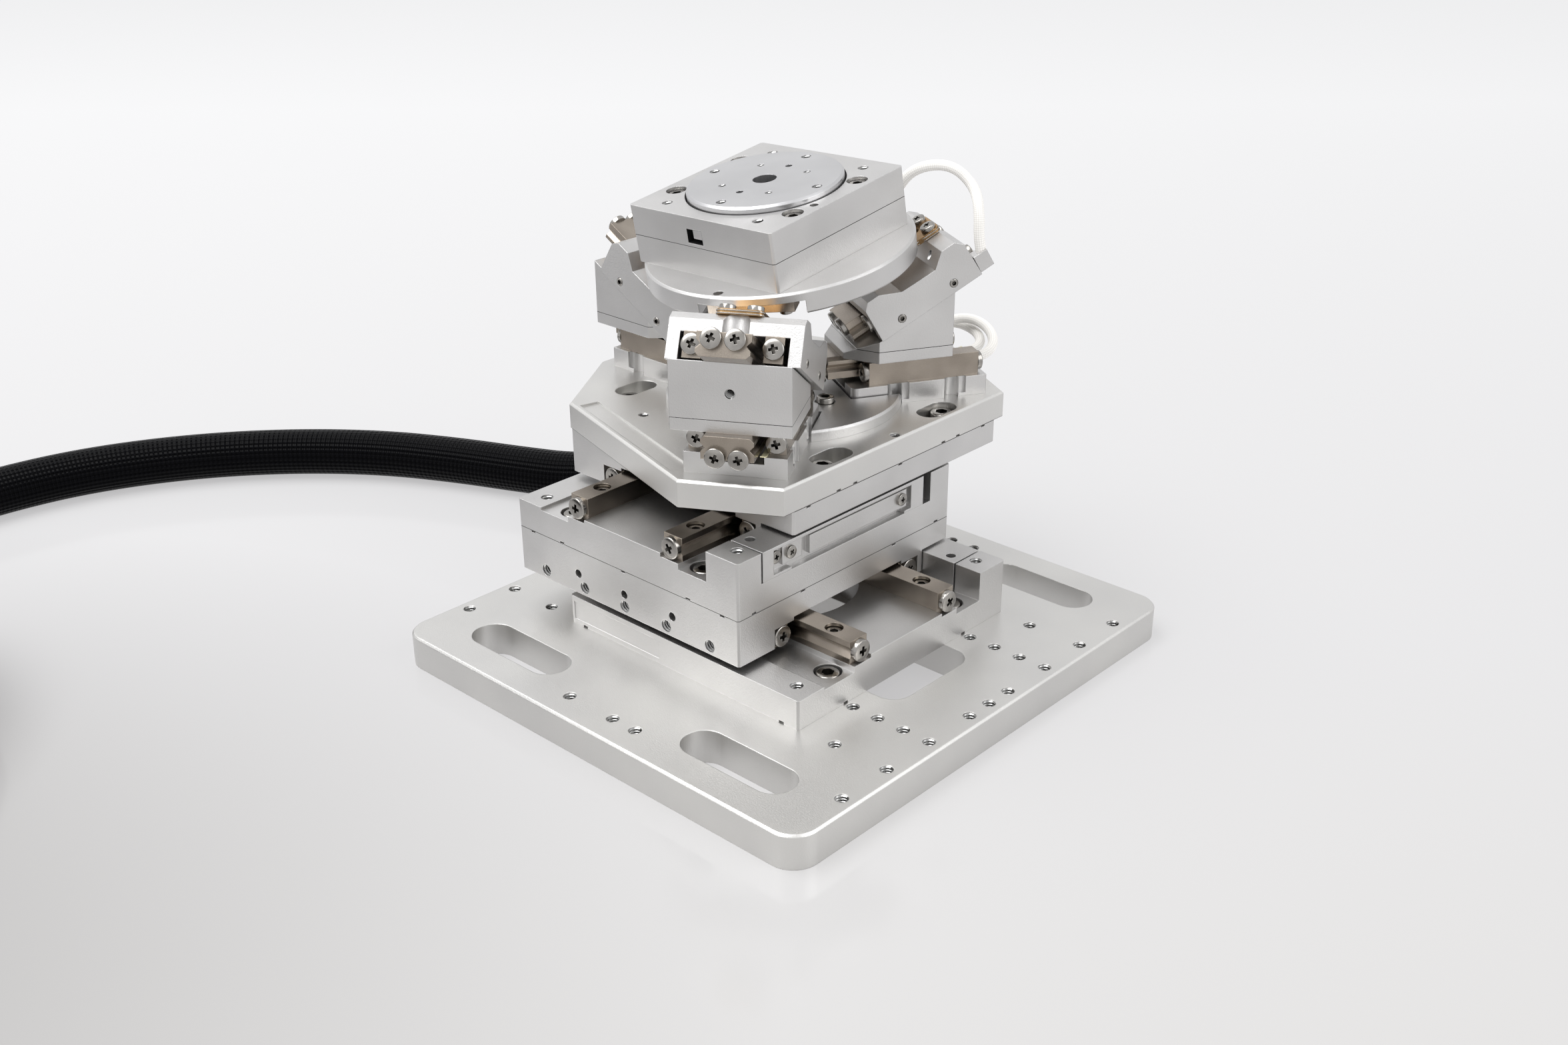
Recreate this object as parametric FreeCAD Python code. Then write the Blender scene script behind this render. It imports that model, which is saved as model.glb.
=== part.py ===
import FreeCAD, Part
import math
import os

# Parallel kinematic positioner: a three-legged positioner with a small rotation stage
# on its platform, carried by two crossed-roller stages on a base plate.
# Millimetres, +Z up. The origin is the centre of the base plate's underside.
# X runs along the lower stage's travel, Y along the upper stage's travel.

V = FreeCAD.Vector
Z_AXIS = V(0, 0, 1)
X_AXIS = V(1, 0, 0)
Y_AXIS = V(0, 1, 0)

# Base plate
PLATE_LENGTH = 90.0
PLATE_WIDTH = 95.0
PLATE_THICK = 5.8
PLATE_CORNER = 4.5
EDGE_BREAK = 0.35
SLOT_LENGTH = 21.6
SLOT_WIDTH = 7.2
SLOT_SPACING_X = 50.0
SLOT_SPACING_Y = 76.0
WINDOW_LENGTH = 64.0
WINDOW_WIDTH = 20.0
WINDOW_CORNER = 3.5
TAP_RADIUS = 1.05
TAP_DEPTH = 4.6
GRID_OUTER_X = 42.5
GRID_EDGE_Y = 42.5
GRID_STEP = 5.0

# Crossed-roller stage, used twice
STAGE_SIDE = 52.0
STAGE_HEIGHT = 14.2
RIM_WIDTH = 6.0
RIM_HEIGHT = 5.1
POCKET_FLOOR = 4.6
SEAT_HEIGHT = 5.6
CENTRE_HEIGHT = 6.2
WALL_WIDTH = 6.8
WALL_HEIGHT = 9.8
WALL_BLOCK = 5.2
COVER_GAP = 0.35
COVER_SLOT = 2.0
COVER_RECESS = 1.3
COVER_RECESS_FROM = -15.6
COVER_RECESS_TO = 18.0
COVER_LIP = 0.55
COVER_LEDGE = 0.45
COVER_LEDGE_HALF = 13.9
COVER_PLATE_FROM = -14.8
COVER_PLATE_TO = 9.3
COVER_PLATE_HEIGHT = 3.1
COVER_PLATE_THICK = 0.9
COVER_BRACKET_FROM = 10.7
COVER_BRACKET_TO = 15.2
COVER_BRACKET_THICK = 0.5
BASE_LABEL_LENGTH = 20.6
BASE_LABEL_HEIGHT = 3.3
BASE_LABEL_EDGE = 0.9
BASE_LABEL_DEPTH = 0.12
STAGE_BORE = 12.0
RAIL = 4.0
RAIL_INSET = 1.0
RAIL_INNER = 9.0
RAIL_PAIR_GAP = 0.9
RAIL_GROOVE = 1.0
RAIL_CBORE = 1.5
RAIL_CBORE_DEPTH = 1.3
RAIL_HOLE_PITCH = 10.0
RAIL_HOLE_END = 5.0
SLIDER_FLOOR = 6.2
SLIDER_CEILING = 10.2
SLIDER_LEG = 1.1
SLIDER_HOLE_PITCH = 9.8
SLIDER_HOLE_HEIGHT = 7.65
SLIDER_PIN_PITCH = 11.25
SLIDER_PIN_HEIGHT = 9.85
SLIDER_PIN_RADIUS = 0.75
STAGE_BOLT = 22.5
STAGE_SCREW_X = 22.6
STAGE_SCREW_Y = 15.4
STAGE_SCREW_CBORE = 2.3
X_OFFSET = -12.3
Y_OFFSET = 12.5

# Small prying notches along the seams
NOTCH_WIDTH = 1.0
NOTCH_HEIGHT = 0.35
NOTCH_DEPTH = 0.5
NOTCH_CORNER = 3.5
NOTCH_BASE = 15.0
NOTCH_SLIDER = 11.3
NOTCH_POD = (11.4, 15.4)

# Pod base plate: a hexagon with three long flats joined to the stage's square
POD_THICK = 4.6
POD_FLAT = 37.4
POD_FLAT_HALF = 8.5
POD_SIDE = 26.0
POD_SLOT_X = 22.7
POD_SLOT_Y = 13.5
POD_SLOT_LENGTH = 8.2
POD_SLOT_WIDTH = 4.6
POD_TAP_RADIUS = 24.7
POD_TAP_HOLE = 0.85
POD_LABEL_DEPTH = 0.3
HUB_RADIUS = 20.2
HUB_THICK = 1.9
HUB_SCREW_AT = 9.5
HUB_SCREW_CBORE = 1.75
HUB_SCREW_DEPTH = 0.5

# Small positioner, used twice in each leg
LEG_BASE_WIDTH = 16.6
LEG_BASE_START = 9.5
LEG_BASE_END = 34.0
LEG_BASE_HEIGHT = 3.5
LEG_BASE_CORNER = 1.2
LEG_GROOVE_DEPTH = 1.2
LEG_GROOVE_HALF = 4.6
SIDE_NOTCH_RADIUS = 1.3
SIDE_NOTCH_AT = (17.2, 27.6)
TRACK_WIDTH = 3.0
TRACK_HEIGHT = 4.1
TRACK_LENGTH = 19.9
TRACK_START = 12.7
TRACK_INNER = 4.8
TRACK_GROOVE = 0.7
RUNNER_LEFT = 4.4
RUNNER_RIGHT = 4.0
RUNNER_HEIGHT = 3.8
RUNNER_LENGTH = 22.0
RUNNER_LIFT = 0.7
RUNNER_CHAMFER = 0.6

# Wedge and inclined housing
INCLINE = 30.0
WEDGE_WIDTH = 19.2
WEDGE_PLATE = 2.0
WEDGE_RISE = 9.4
WEDGE_SIDE = 13.2
WEDGE_DEPTH = 18.0
WEDGE_NOSE = 10.0
WEDGE_TAP_RADIUS = 0.8
WEDGE_TAP_DEPTH = 5.0
RUNNER_OVERHANG = 1.5
UPPER_RUNNER_BACK = -18.0
HOUSING_WIDTH = 21.0
HOUSING_LENGTH = 20.0
HOUSING_HEIGHT = 7.85
HOUSING_GAP = 0.25
HOUSING_WINDOW = 17.0
HOUSING_CEILING = 4.65
HOUSING_SCOOP = 5.7
HOUSING_CHANNEL = 2.1
TRACK_INSET = 0.4
SET_SCREW_RADIUS = 0.75
SET_SCREW_DEPTH = 1.2
SET_SCREW_HEIGHT = 1.8
SET_SCREW_BACK = (4.9, 15.3)
HUMP_BACK = 13.2

# Top joint of a leg: a layered flexure plate that carries a ball
FLEX_WIDTH = 7.3
FLEX_BACK = 1.1
FLEX_LENGTH = 14.1
FLEX_THICK = 0.9
FLEX_HOLE = 0.9
FLEX_HOLE_BACK = 4.6
BALL_RADIUS = 1.3
BALL_BACK = 13.0
BALL_STEM = 0.8
BALL_RISE = 1.0
BALL_GAP = 0.3

# Where the three legs point, where each wedge stands and how far its housing has slid
LEG_NAMES = ("a", "b", "c")
LEG_ANGLES = {"a": -60.0, "b": 60.0, "c": 180.0}
WEDGE_FACE = {"a": 36.5, "b": 27.0, "c": 36.5}
HOUSING_TIP = {"a": -1.6, "b": 5.2, "c": -2.6}

# Platform: a round disc with the rotation stage on it, tilted as photographed
PLATFORM_X = -14.08
PLATFORM_Y = 10.3
PLATFORM_Z = 76.07
TILT_X = 8.76
TILT_Y = -1.95
TURN_Z = -0.27
ROTOR_SIDE = 31.8
ROTOR_TOP_THICK = 5.1
ROTOR_BOTTOM_THICK = 4.8
ROTOR_RADIUS = 13.0
ROTOR_CLEARANCE = 0.3
ROTOR_RISE = 1.1
ROTOR_DEPTH = 3.2
ROTOR_BORE = 2.0
ROTOR_SHAFT = 7.0
SHAFT_CLEARANCE = 0.05
SHAFT_DEPTH = 3.5
ROTOR_TURN = 3.6
ROTOR_BIG_CIRCLE = 10.9
ROTOR_SMALL_CIRCLE = 7.0
ROTOR_PIN_CIRCLE = 6.3
ROTOR_BIG_HOLE = 0.85
ROTOR_SMALL_HOLE = 0.6
BODY_SCREW_X = 13.1
BODY_SCREW_Y = 7.7
BODY_SCREW_CBORE = 1.75
BODY_TAP_X = 10.2
BODY_TAP_Y = 12.6
BODY_TAP_RADIUS = 0.9
BODY_PIN_X = 14.0
BODY_PIN_Y = -3.7
BODY_PIN_RADIUS = 0.7
BODY_WINDOW_FROM = -2.9
BODY_WINDOW_TO = 0.5
BODY_WINDOW_TOP = 2.1
BODY_WINDOW_HEIGHT = 2.4
BODY_WINDOW_DEPTH = 1.6
DISC_RADIUS = 22.6
DISC_THICK = 3.8
DISC_SHIFT_X = 0.8
DISC_SHIFT_Y = 0.5
CUTOUT_HALF = 8.75
CUTOUT_DEPTH = 2.3
CUTOUT_START = 8.0
DISC_HOLE_X = 6.5
DISC_HOLE_Y = -19.8
DISC_HOLE_RADIUS = 0.8
GUIDE_LENGTH = 14.0
GUIDE_WIDTH = 3.4
GUIDE_HEIGHT = 1.6
CUP_RADIUS = 1.1

# Cable in its braided sleeve, with the clamp that holds it and its connector
SLEEVE_RADIUS = 4.75
CLAMP_X = -40.3
CLAMP_Y = 36.2
CLAMP_LENGTH = 8.2
CLAMP_WIDTH = 15.0
CLAMP_WALL = 1.6
COIL_RADIUS = 47.5
COIL_TURNS = 2
COIL_EXIT = 60.0
TAIL_BEND = 34.0
TAIL_STEP = 20.0
CONNECTOR_RADIUS = 6.2
CONNECTOR_LENGTH = 26.0
CONNECTOR_NUT = 0.9

# White signal cables
WIRE_RADIUS = 0.9
WIRE_POCKET = 2.5
WIRE_POCKET_DEPTH = 4.0
WIRE_EXIT_X = 9.0
WIRE_EXIT_DEPTH = 8.0
WIRE_END = (1.3, -9.4, 0.9)
CLIP_LENGTH = 2.6
CLIP_HEIGHT = 3.0

# Heights that follow from the stack
STAGE_Z = PLATE_THICK
UPPER_Z = STAGE_Z + STAGE_HEIGHT
POD_Z = UPPER_Z + STAGE_HEIGHT
LEG_Z = POD_Z + POD_THICK
POD_X = X_OFFSET
POD_Y = Y_OFFSET
RAIL_LENGTH = STAGE_SIDE - 2 * RAIL_INSET
RAIL_OUTER = RAIL_INNER + RAIL
MATE_INNER = RAIL_OUTER + RAIL_PAIR_GAP
MATE_OUTER = MATE_INNER + RAIL
RUNNER_TOP = LEG_BASE_HEIGHT + RUNNER_LIFT + RUNNER_HEIGHT


def box(x0, x1, y0, y1, z0, z1):
    return Part.makeBox(x1 - x0, y1 - y0, z1 - z0, V(x0, y0, z0))


def cylinder(x, y, z, radius, height, axis=Z_AXIS):
    return Part.makeCylinder(radius, height, V(x, y, z), axis)


def prism_x(profile, x0, x1):
    """A closed (y, z) outline drawn along X."""
    points = [V(x0, y, z) for y, z in profile]
    face = Part.Face(Part.makePolygon(points + points[:1]))
    return face.extrude(V(x1 - x0, 0, 0))


def prism_y(profile, y0, y1):
    """A closed (x, z) outline drawn along Y."""
    points = [V(x, y0, z) for x, z in profile]
    face = Part.Face(Part.makePolygon(points + points[:1]))
    return face.extrude(V(0, y1 - y0, 0))


def prism_z(outline, z0, z1):
    """A closed (x, y) outline drawn upwards."""
    points = [V(x, y, z0) for x, y in outline]
    face = Part.Face(Part.makePolygon(points + points[:1]))
    return face.extrude(V(0, 0, z1 - z0))


def upright_edges(shape):
    """The straight edges of a shape that stand along Z."""
    found = []
    for edge in shape.Edges:
        if len(edge.Vertexes) != 2:
            continue
        run = edge.Vertexes[1].Point - edge.Vertexes[0].Point
        if abs(run.x) < 1e-6 and abs(run.y) < 1e-6:
            found.append(edge)
    return found


def top_edges(shape, height):
    """The edges of a shape that lie wholly at one height."""
    return [edge for edge in shape.Edges
            if all(abs(v.Z - height) < 1e-6 for v in edge.Vertexes)]


def rounded_plate(length, width, corner, z0, z1):
    plate = box(-length / 2, length / 2, -width / 2, width / 2, z0, z1)
    return plate.makeFillet(corner, upright_edges(plate))


def slot_cut(x, y, length, width, z0, z1, along_x=True):
    """A round-ended slot centred on x, y."""
    half = (length - width) / 2
    if along_x:
        body = box(x - half, x + half, y - width / 2, y + width / 2, z0, z1)
        ends = [(x - half, y), (x + half, y)]
    else:
        body = box(x - width / 2, x + width / 2, y - half, y + half, z0, z1)
        ends = [(x, y - half), (x, y + half)]
    return body.fuse([cylinder(ex, ey, z0, width / 2, z1 - z0) for ex, ey in ends])


def seam_notch(x, y, low):
    """Small notch centred on the edge point x, y of a piece."""
    deep_x = NOTCH_DEPTH if abs(x) > abs(y) else NOTCH_WIDTH / 2
    deep_y = NOTCH_WIDTH / 2 if abs(x) > abs(y) else NOTCH_DEPTH
    return box(x - deep_x, x + deep_x, y - deep_y, y + deep_y, low, low + NOTCH_HEIGHT)


def seam_notches(half, along_x, along_y, low):
    """Notches in all four sides, at the given places along the X sides and the Y sides."""
    cuts = []
    for side in (-1, 1):
        cuts += [seam_notch(at, side * half, low) for at in along_x]
        cuts += [seam_notch(side * half, at, low) for at in along_y]
    return cuts


def base_plate():
    plate = rounded_plate(PLATE_LENGTH, PLATE_WIDTH, PLATE_CORNER, 0, PLATE_THICK)
    plate = plate.makeChamfer(EDGE_BREAK, top_edges(plate, PLATE_THICK))
    cuts = []
    for side_x in (-1, 1):
        for side_y in (-1, 1):
            x = side_x * SLOT_SPACING_X / 2
            y = side_y * SLOT_SPACING_Y / 2
            cuts.append(slot_cut(x, y, SLOT_LENGTH, SLOT_WIDTH, 0, PLATE_THICK))
    window = rounded_plate(WINDOW_LENGTH, WINDOW_WIDTH, WINDOW_CORNER, 0, PLATE_THICK)
    cuts.append(window)
    cuts += [cylinder(x, y, PLATE_THICK - TAP_DEPTH, TAP_RADIUS, TAP_DEPTH)
             for x, y in plate_holes()]
    return plate.cut(cuts)


def plate_holes():
    """Tapped holes: two mirrored fields at the ends and one short row along each long edge."""
    holes = []
    for side in (-1, 1):
        for step in (-1, 0, 1):
            holes.append((side * GRID_OUTER_X, step * GRID_STEP))
        for row in (-1, 1):
            for step in range(4):
                x = side * (GRID_OUTER_X - step * GRID_STEP)
                holes.append((x, row * 3 * GRID_STEP))
            for step in (0, 2):
                x = side * (GRID_OUTER_X - step * GRID_STEP)
                holes.append((x, row * 5 * GRID_STEP))
            holes.append((side * GRID_OUTER_X, row * 7 * GRID_STEP))
    for row in (-1, 1):
        for x in (-1.5 * GRID_STEP, 0.5 * GRID_STEP, 1.5 * GRID_STEP):
            holes.append((x, row * GRID_EDGE_Y))
    return holes


def stage_base():
    """Fixed half of a crossed-roller stage: a low rim, two rail seats and a raised wall."""
    half = STAGE_SIDE / 2
    wall = half - WALL_WIDTH
    rim = half - RIM_WIDTH
    profile = [
        (-half, 0), (half, 0), (half, WALL_HEIGHT), (wall, WALL_HEIGHT),
        (wall, POCKET_FLOOR), (RAIL_OUTER, POCKET_FLOOR), (RAIL_OUTER, SEAT_HEIGHT),
        (RAIL_INNER, SEAT_HEIGHT), (RAIL_INNER, CENTRE_HEIGHT),
        (-RAIL_INNER, CENTRE_HEIGHT), (-RAIL_INNER, SEAT_HEIGHT),
        (-RAIL_OUTER, SEAT_HEIGHT), (-RAIL_OUTER, POCKET_FLOOR),
        (-rim, POCKET_FLOOR), (-rim, RIM_HEIGHT), (-half, RIM_HEIGHT),
    ]
    base = prism_x(profile, -half, half)
    block = half - WALL_BLOCK
    cuts = [
        box(-block, block, wall, half, POCKET_FLOOR, WALL_HEIGHT),
        cylinder(0, 0, 0, STAGE_BORE, CENTRE_HEIGHT),
    ]
    for side_x in (-1, 1):
        for side_y in (-1, 1):
            cuts.append(cylinder(side_x * STAGE_SCREW_X, side_y * STAGE_SCREW_Y,
                                 POCKET_FLOOR - 2.6, STAGE_SCREW_CBORE, 2.6))
            top = RIM_HEIGHT if side_y < 0 else WALL_HEIGHT
            cuts.append(cylinder(side_x * STAGE_BOLT, side_y * STAGE_BOLT,
                                 top - TAP_DEPTH, TAP_RADIUS, TAP_DEPTH))
    cuts += seam_notches(half, (NOTCH_CORNER - half, half - NOTCH_CORNER),
                         (-NOTCH_BASE, NOTCH_BASE), 0)
    cuts.append(box(BASE_LABEL_EDGE - half, BASE_LABEL_EDGE - half + BASE_LABEL_LENGTH,
                    -half, BASE_LABEL_DEPTH - half, BASE_LABEL_EDGE,
                    BASE_LABEL_EDGE + BASE_LABEL_HEIGHT))
    base = base.cut(cuts)
    corners = [edge for edge in upright_edges(base)
               if abs(abs(edge.Vertexes[0].X) - half) < 1e-6
               and abs(abs(edge.Vertexes[0].Y) - half) < 1e-6]
    return base.makeChamfer(EDGE_BREAK, corners)


def stage_cover():
    """Sensor cover that fills the wall between its two corner blocks, open at its face."""
    half = STAGE_SIDE / 2
    left = WALL_BLOCK + COVER_SLOT - half
    right = half - WALL_BLOCK - COVER_GAP
    cover = box(left, right, half - WALL_WIDTH, half, POCKET_FLOOR, WALL_HEIGHT)
    floor = half - COVER_RECESS
    recess = box(COVER_RECESS_FROM, COVER_RECESS_TO, floor, half,
                 POCKET_FLOOR + COVER_LEDGE, WALL_HEIGHT - COVER_LIP)
    ledge = box(-COVER_LEDGE_HALF, COVER_LEDGE_HALF, floor, half, POCKET_FLOOR,
                POCKET_FLOOR + COVER_LEDGE)
    taps = [cylinder(x, half - WALL_WIDTH / 2 - 1.4, WALL_HEIGHT - 3.0, 0.85, 3.0)
            for x in (left + 2.2, right - 2.2)]
    cover = cover.cut([recess, ledge] + taps)
    plate = cover_plate(COVER_PLATE_FROM, COVER_PLATE_TO, COVER_PLATE_THICK)
    bracket = cover_plate(COVER_BRACKET_FROM, COVER_BRACKET_TO, COVER_BRACKET_THICK)
    return Part.makeCompound([cover, plate, bracket])


def cover_plate(start, end, thick):
    """Thin plate screwed onto the recess's floor."""
    low = (POCKET_FLOOR + COVER_LEDGE + WALL_HEIGHT - COVER_LIP - COVER_PLATE_HEIGHT) / 2
    floor = STAGE_SIDE / 2 - COVER_RECESS
    return box(start, end, floor, floor + thick, low, low + COVER_PLATE_HEIGHT)


def grooved_bar(length, width, height, groove, side):
    """A rail along X with a V track in one side; its far side lies on y = 0."""
    mid = height / 2
    bar = box(0, length, 0, width, 0, height)
    if side > 0:
        notch = [(width, mid - groove), (width, mid + groove), (width - groove, mid)]
    else:
        notch = [(0, mid - groove), (0, mid + groove), (groove, mid)]
    return bar.cut(prism_x(notch, 0, length))


def stage_rail(side, inner):
    """One rail of the stage, with its sunk screw holes."""
    near = RAIL_INNER if inner else MATE_INNER
    groove_side = 1 if inner else -1
    rail = grooved_bar(RAIL_LENGTH, RAIL, RAIL, RAIL_GROOVE, groove_side)
    count = int((RAIL_LENGTH - 2 * RAIL_HOLE_END) / RAIL_HOLE_PITCH) + 1
    sinks = [cylinder(RAIL_HOLE_END + k * RAIL_HOLE_PITCH, RAIL / 2,
                      RAIL - RAIL_CBORE_DEPTH, RAIL_CBORE, RAIL_CBORE_DEPTH)
             for k in range(count)]
    if inner:
        rail = rail.cut(sinks)
    rail.translate(V(-RAIL_LENGTH / 2, near, SEAT_HEIGHT))
    if side < 0:
        rail = rail.mirror(V(0, 0, 0), Y_AXIS)
    return rail


def stage_rails(inner):
    return Part.makeCompound([stage_rail(-1, inner), stage_rail(1, inner)])


def stage_slider():
    """Moving half of a crossed-roller stage: a table with a deep skirt and a thin inner leg."""
    half = STAGE_SIDE / 2
    land = SEAT_HEIGHT + RAIL
    inner_land = MATE_INNER - 0.45
    leg = MATE_OUTER + SLIDER_LEG
    profile = [
        (-half, SLIDER_FLOOR), (-MATE_OUTER, SLIDER_FLOOR), (-MATE_OUTER, land),
        (-inner_land, land), (-inner_land, SLIDER_CEILING),
        (inner_land, SLIDER_CEILING), (inner_land, land), (MATE_OUTER, land),
        (MATE_OUTER, SLIDER_FLOOR), (leg, SLIDER_FLOOR), (leg, SLIDER_CEILING),
        (half, SLIDER_CEILING), (half, STAGE_HEIGHT), (-half, STAGE_HEIGHT),
    ]
    slider = prism_x(profile, -half, half)
    corners = [edge for edge in upright_edges(slider)
               if abs(abs(edge.Vertexes[0].Y) - half) < 1e-6]
    slider = slider.makeChamfer(EDGE_BREAK, corners)
    cuts = [cylinder(k * SLIDER_HOLE_PITCH, -half, SLIDER_HOLE_HEIGHT, TAP_RADIUS,
                     TAP_DEPTH, Y_AXIS) for k in range(-2, 3)]
    cuts += [cylinder(k * SLIDER_PIN_PITCH, -half, SLIDER_PIN_HEIGHT, SLIDER_PIN_RADIUS,
                      TAP_DEPTH, Y_AXIS) for k in range(-1, 2)]
    cuts += seam_notches(half, (NOTCH_CORNER - half, 0, half - NOTCH_CORNER),
                         (-NOTCH_SLIDER, NOTCH_SLIDER), STAGE_HEIGHT - NOTCH_HEIGHT)
    return slider.cut(cuts)


def set_lower(shape, shift=0.0):
    """Place a stage part in the lower stage."""
    placed = shape.copy()
    placed.translate(V(shift, 0, STAGE_Z))
    return placed


def set_upper(shape, shift=0.0):
    """Place a stage part in the upper stage, which is turned a quarter turn."""
    placed = shape.copy()
    placed.rotate(V(0, 0, 0), Z_AXIS, -90)
    placed.translate(V(X_OFFSET, shift, UPPER_Z))
    return placed


def pod_outline():
    """Corners of the pod's base plate about its own centre, anticlockwise."""
    tip = []
    for angle in (60.0, 180.0, -60.0):
        a = math.radians(angle)
        for side in (-1, 1):
            tip.append((POD_FLAT * math.cos(a) - side * POD_FLAT_HALF * math.sin(a),
                        POD_FLAT * math.sin(a) + side * POD_FLAT_HALF * math.cos(a)))
    right_low, b_left, left_top, left_low, a_left, a_right = tip
    return [
        (POD_SIDE, a_right[1]), (POD_SIDE, right_low[1]), b_left,
        (-POD_SIDE, POD_SIDE), left_top, left_low, (-POD_SIDE, -POD_SIDE), a_left,
    ]


def pod_plate():
    plate = prism_z(pod_outline(), 0, POD_THICK)
    plate = plate.makeChamfer(EDGE_BREAK, top_edges(plate, POD_THICK))
    cuts = []
    for side_x in (-1, 1):
        for side_y in (-1, 1):
            cuts.append(slot_cut(side_x * POD_SLOT_X, side_y * POD_SLOT_Y, POD_SLOT_LENGTH,
                                 POD_SLOT_WIDTH, 1.2, POD_THICK, along_x=False))
    for angle in (0, 120, 240):
        a = math.radians(angle)
        cuts.append(cylinder(POD_TAP_RADIUS * math.cos(a), POD_TAP_RADIUS * math.sin(a),
                             POD_THICK - 3.0, POD_TAP_HOLE, 3.0))
    cuts.append(label_recess())
    cuts += [seam_notch(POD_SIDE, side * at, 0) for side in (-1, 1) for at in NOTCH_POD]
    plate = plate.cut(cuts)
    plate.translate(V(POD_X, POD_Y, POD_Z))
    return plate


def label_recess():
    """Shallow bare recess beside the front left edge."""
    outline = pod_outline()
    start = V(*outline[6], 0)
    end = V(*outline[7], 0)
    along = (end - start).normalize()
    inward = V(-along.y, along.x, 0)
    first = start + along * 2.2 + inward * 1.0
    last = end - along * 3.4 + inward * 1.0
    width = 3.4
    corners = [first, last, last + inward * width, first + inward * width]
    points = [(p.x, p.y) for p in corners]
    return prism_z(points, POD_THICK - POD_LABEL_DEPTH, POD_THICK)


def hub_plate():
    """Round plate in the middle of the pod, cut away for the three legs."""
    hub = cylinder(0, 0, 0, HUB_RADIUS, HUB_THICK)
    hub = hub.makeChamfer(EDGE_BREAK, [e for e in hub.Edges
                                       if all(v.Z > HUB_THICK - 1e-6 for v in e.Vertexes)
                                       and len(e.Vertexes) == 1])
    cuts = []
    clear = LEG_BASE_WIDTH / 2 + BALL_GAP
    for name in LEG_NAMES:
        cut = box(LEG_BASE_START - BALL_GAP, HUB_RADIUS + 2, -clear, clear, 0, HUB_THICK)
        cut.rotate(V(0, 0, 0), Z_AXIS, LEG_ANGLES[name])
        cuts.append(cut)
        a = math.radians(LEG_ANGLES[name] + 60.0)
        cuts.append(cylinder(HUB_SCREW_AT * math.cos(a), HUB_SCREW_AT * math.sin(a),
                             HUB_THICK - HUB_SCREW_DEPTH, HUB_SCREW_CBORE, HUB_SCREW_DEPTH))
    hub = hub.cut(cuts)
    hub.translate(V(POD_X, POD_Y, LEG_Z))
    return hub


def set_leg(shape, name):
    """Place a part drawn with X pointing outwards along a leg and Z from the pod plate."""
    placed = shape.copy()
    placed.rotate(V(0, 0, 0), Z_AXIS, LEG_ANGLES[name])
    placed.translate(V(POD_X, POD_Y, LEG_Z))
    return placed


def set_incline(shape, name, slide=0.0):
    """Place a part drawn along the incline; its X = 0 is the wedge's top outer corner."""
    placed = shape.copy()
    placed.translate(V(slide, 0, 0))
    placed.rotate(V(0, 0, 0), Y_AXIS, -INCLINE)
    placed.translate(V(WEDGE_FACE[name], 0, wedge_top()))
    return set_leg(placed, name)


def wedge_bottom():
    return RUNNER_TOP


def wedge_top():
    return wedge_bottom() + WEDGE_PLATE + WEDGE_RISE


def leg_base():
    half = LEG_BASE_WIDTH / 2
    base = box(LEG_BASE_START, LEG_BASE_END, -half, half, 0, LEG_BASE_HEIGHT)
    base = base.makeFillet(LEG_BASE_CORNER, [
        e for e in upright_edges(base) if e.Vertexes[0].X < LEG_BASE_START + 1e-6])
    cuts = [box(LEG_BASE_START, LEG_BASE_END, -LEG_GROOVE_HALF, LEG_GROOVE_HALF,
                LEG_BASE_HEIGHT - LEG_GROOVE_DEPTH, LEG_BASE_HEIGHT)]
    for x in SIDE_NOTCH_AT:
        for side in (-1, 1):
            cuts.append(cylinder(x, side * half, 0, SIDE_NOTCH_RADIUS, LEG_BASE_HEIGHT))
            y0 = side * half - 0.6
            cuts.append(box(x + SIDE_NOTCH_RADIUS, x + 2 * SIDE_NOTCH_RADIUS, y0, y0 + 1.2,
                            0.6, LEG_BASE_HEIGHT))
    return base.cut(cuts)


def track_pair():
    """Two grooved steel tracks from X = 0 and Z = 0."""
    track = grooved_bar(TRACK_LENGTH, TRACK_WIDTH, TRACK_HEIGHT, TRACK_GROOVE, -1)
    track.translate(V(0, TRACK_INNER, 0))
    return Part.makeCompound([track, track.mirror(V(0, 0, 0), Y_AXIS)])


def runner_block(upright):
    """Steel runner between two tracks, with a V track in each side and one pair of long
    edges broken: the upper pair where the runner stands upright, else the lower pair."""
    mid = RUNNER_HEIGHT / 2
    g = TRACK_GROOVE
    c = RUNNER_CHAMFER
    low = 0 if upright else c
    high = c if upright else 0
    profile = [(-RUNNER_LEFT + low, 0), (RUNNER_RIGHT - low, 0)]
    if low:
        profile.append((RUNNER_RIGHT, low))
    profile += [(RUNNER_RIGHT, mid - g), (RUNNER_RIGHT - g, mid), (RUNNER_RIGHT, mid + g)]
    if high:
        profile += [(RUNNER_RIGHT, RUNNER_HEIGHT - high), (RUNNER_RIGHT - high, RUNNER_HEIGHT)]
        profile += [(-RUNNER_LEFT + high, RUNNER_HEIGHT), (-RUNNER_LEFT, RUNNER_HEIGHT - high)]
    else:
        profile += [(RUNNER_RIGHT, RUNNER_HEIGHT), (-RUNNER_LEFT, RUNNER_HEIGHT)]
    profile += [(-RUNNER_LEFT, mid + g), (-RUNNER_LEFT + g, mid), (-RUNNER_LEFT, mid - g)]
    if low:
        profile.append((-RUNNER_LEFT, low))
    return prism_x(profile, 0, RUNNER_LENGTH)


def leg_tracks(name):
    pair = track_pair()
    pair.translate(V(TRACK_START, 0, LEG_BASE_HEIGHT))
    return set_leg(pair, name)


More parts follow.
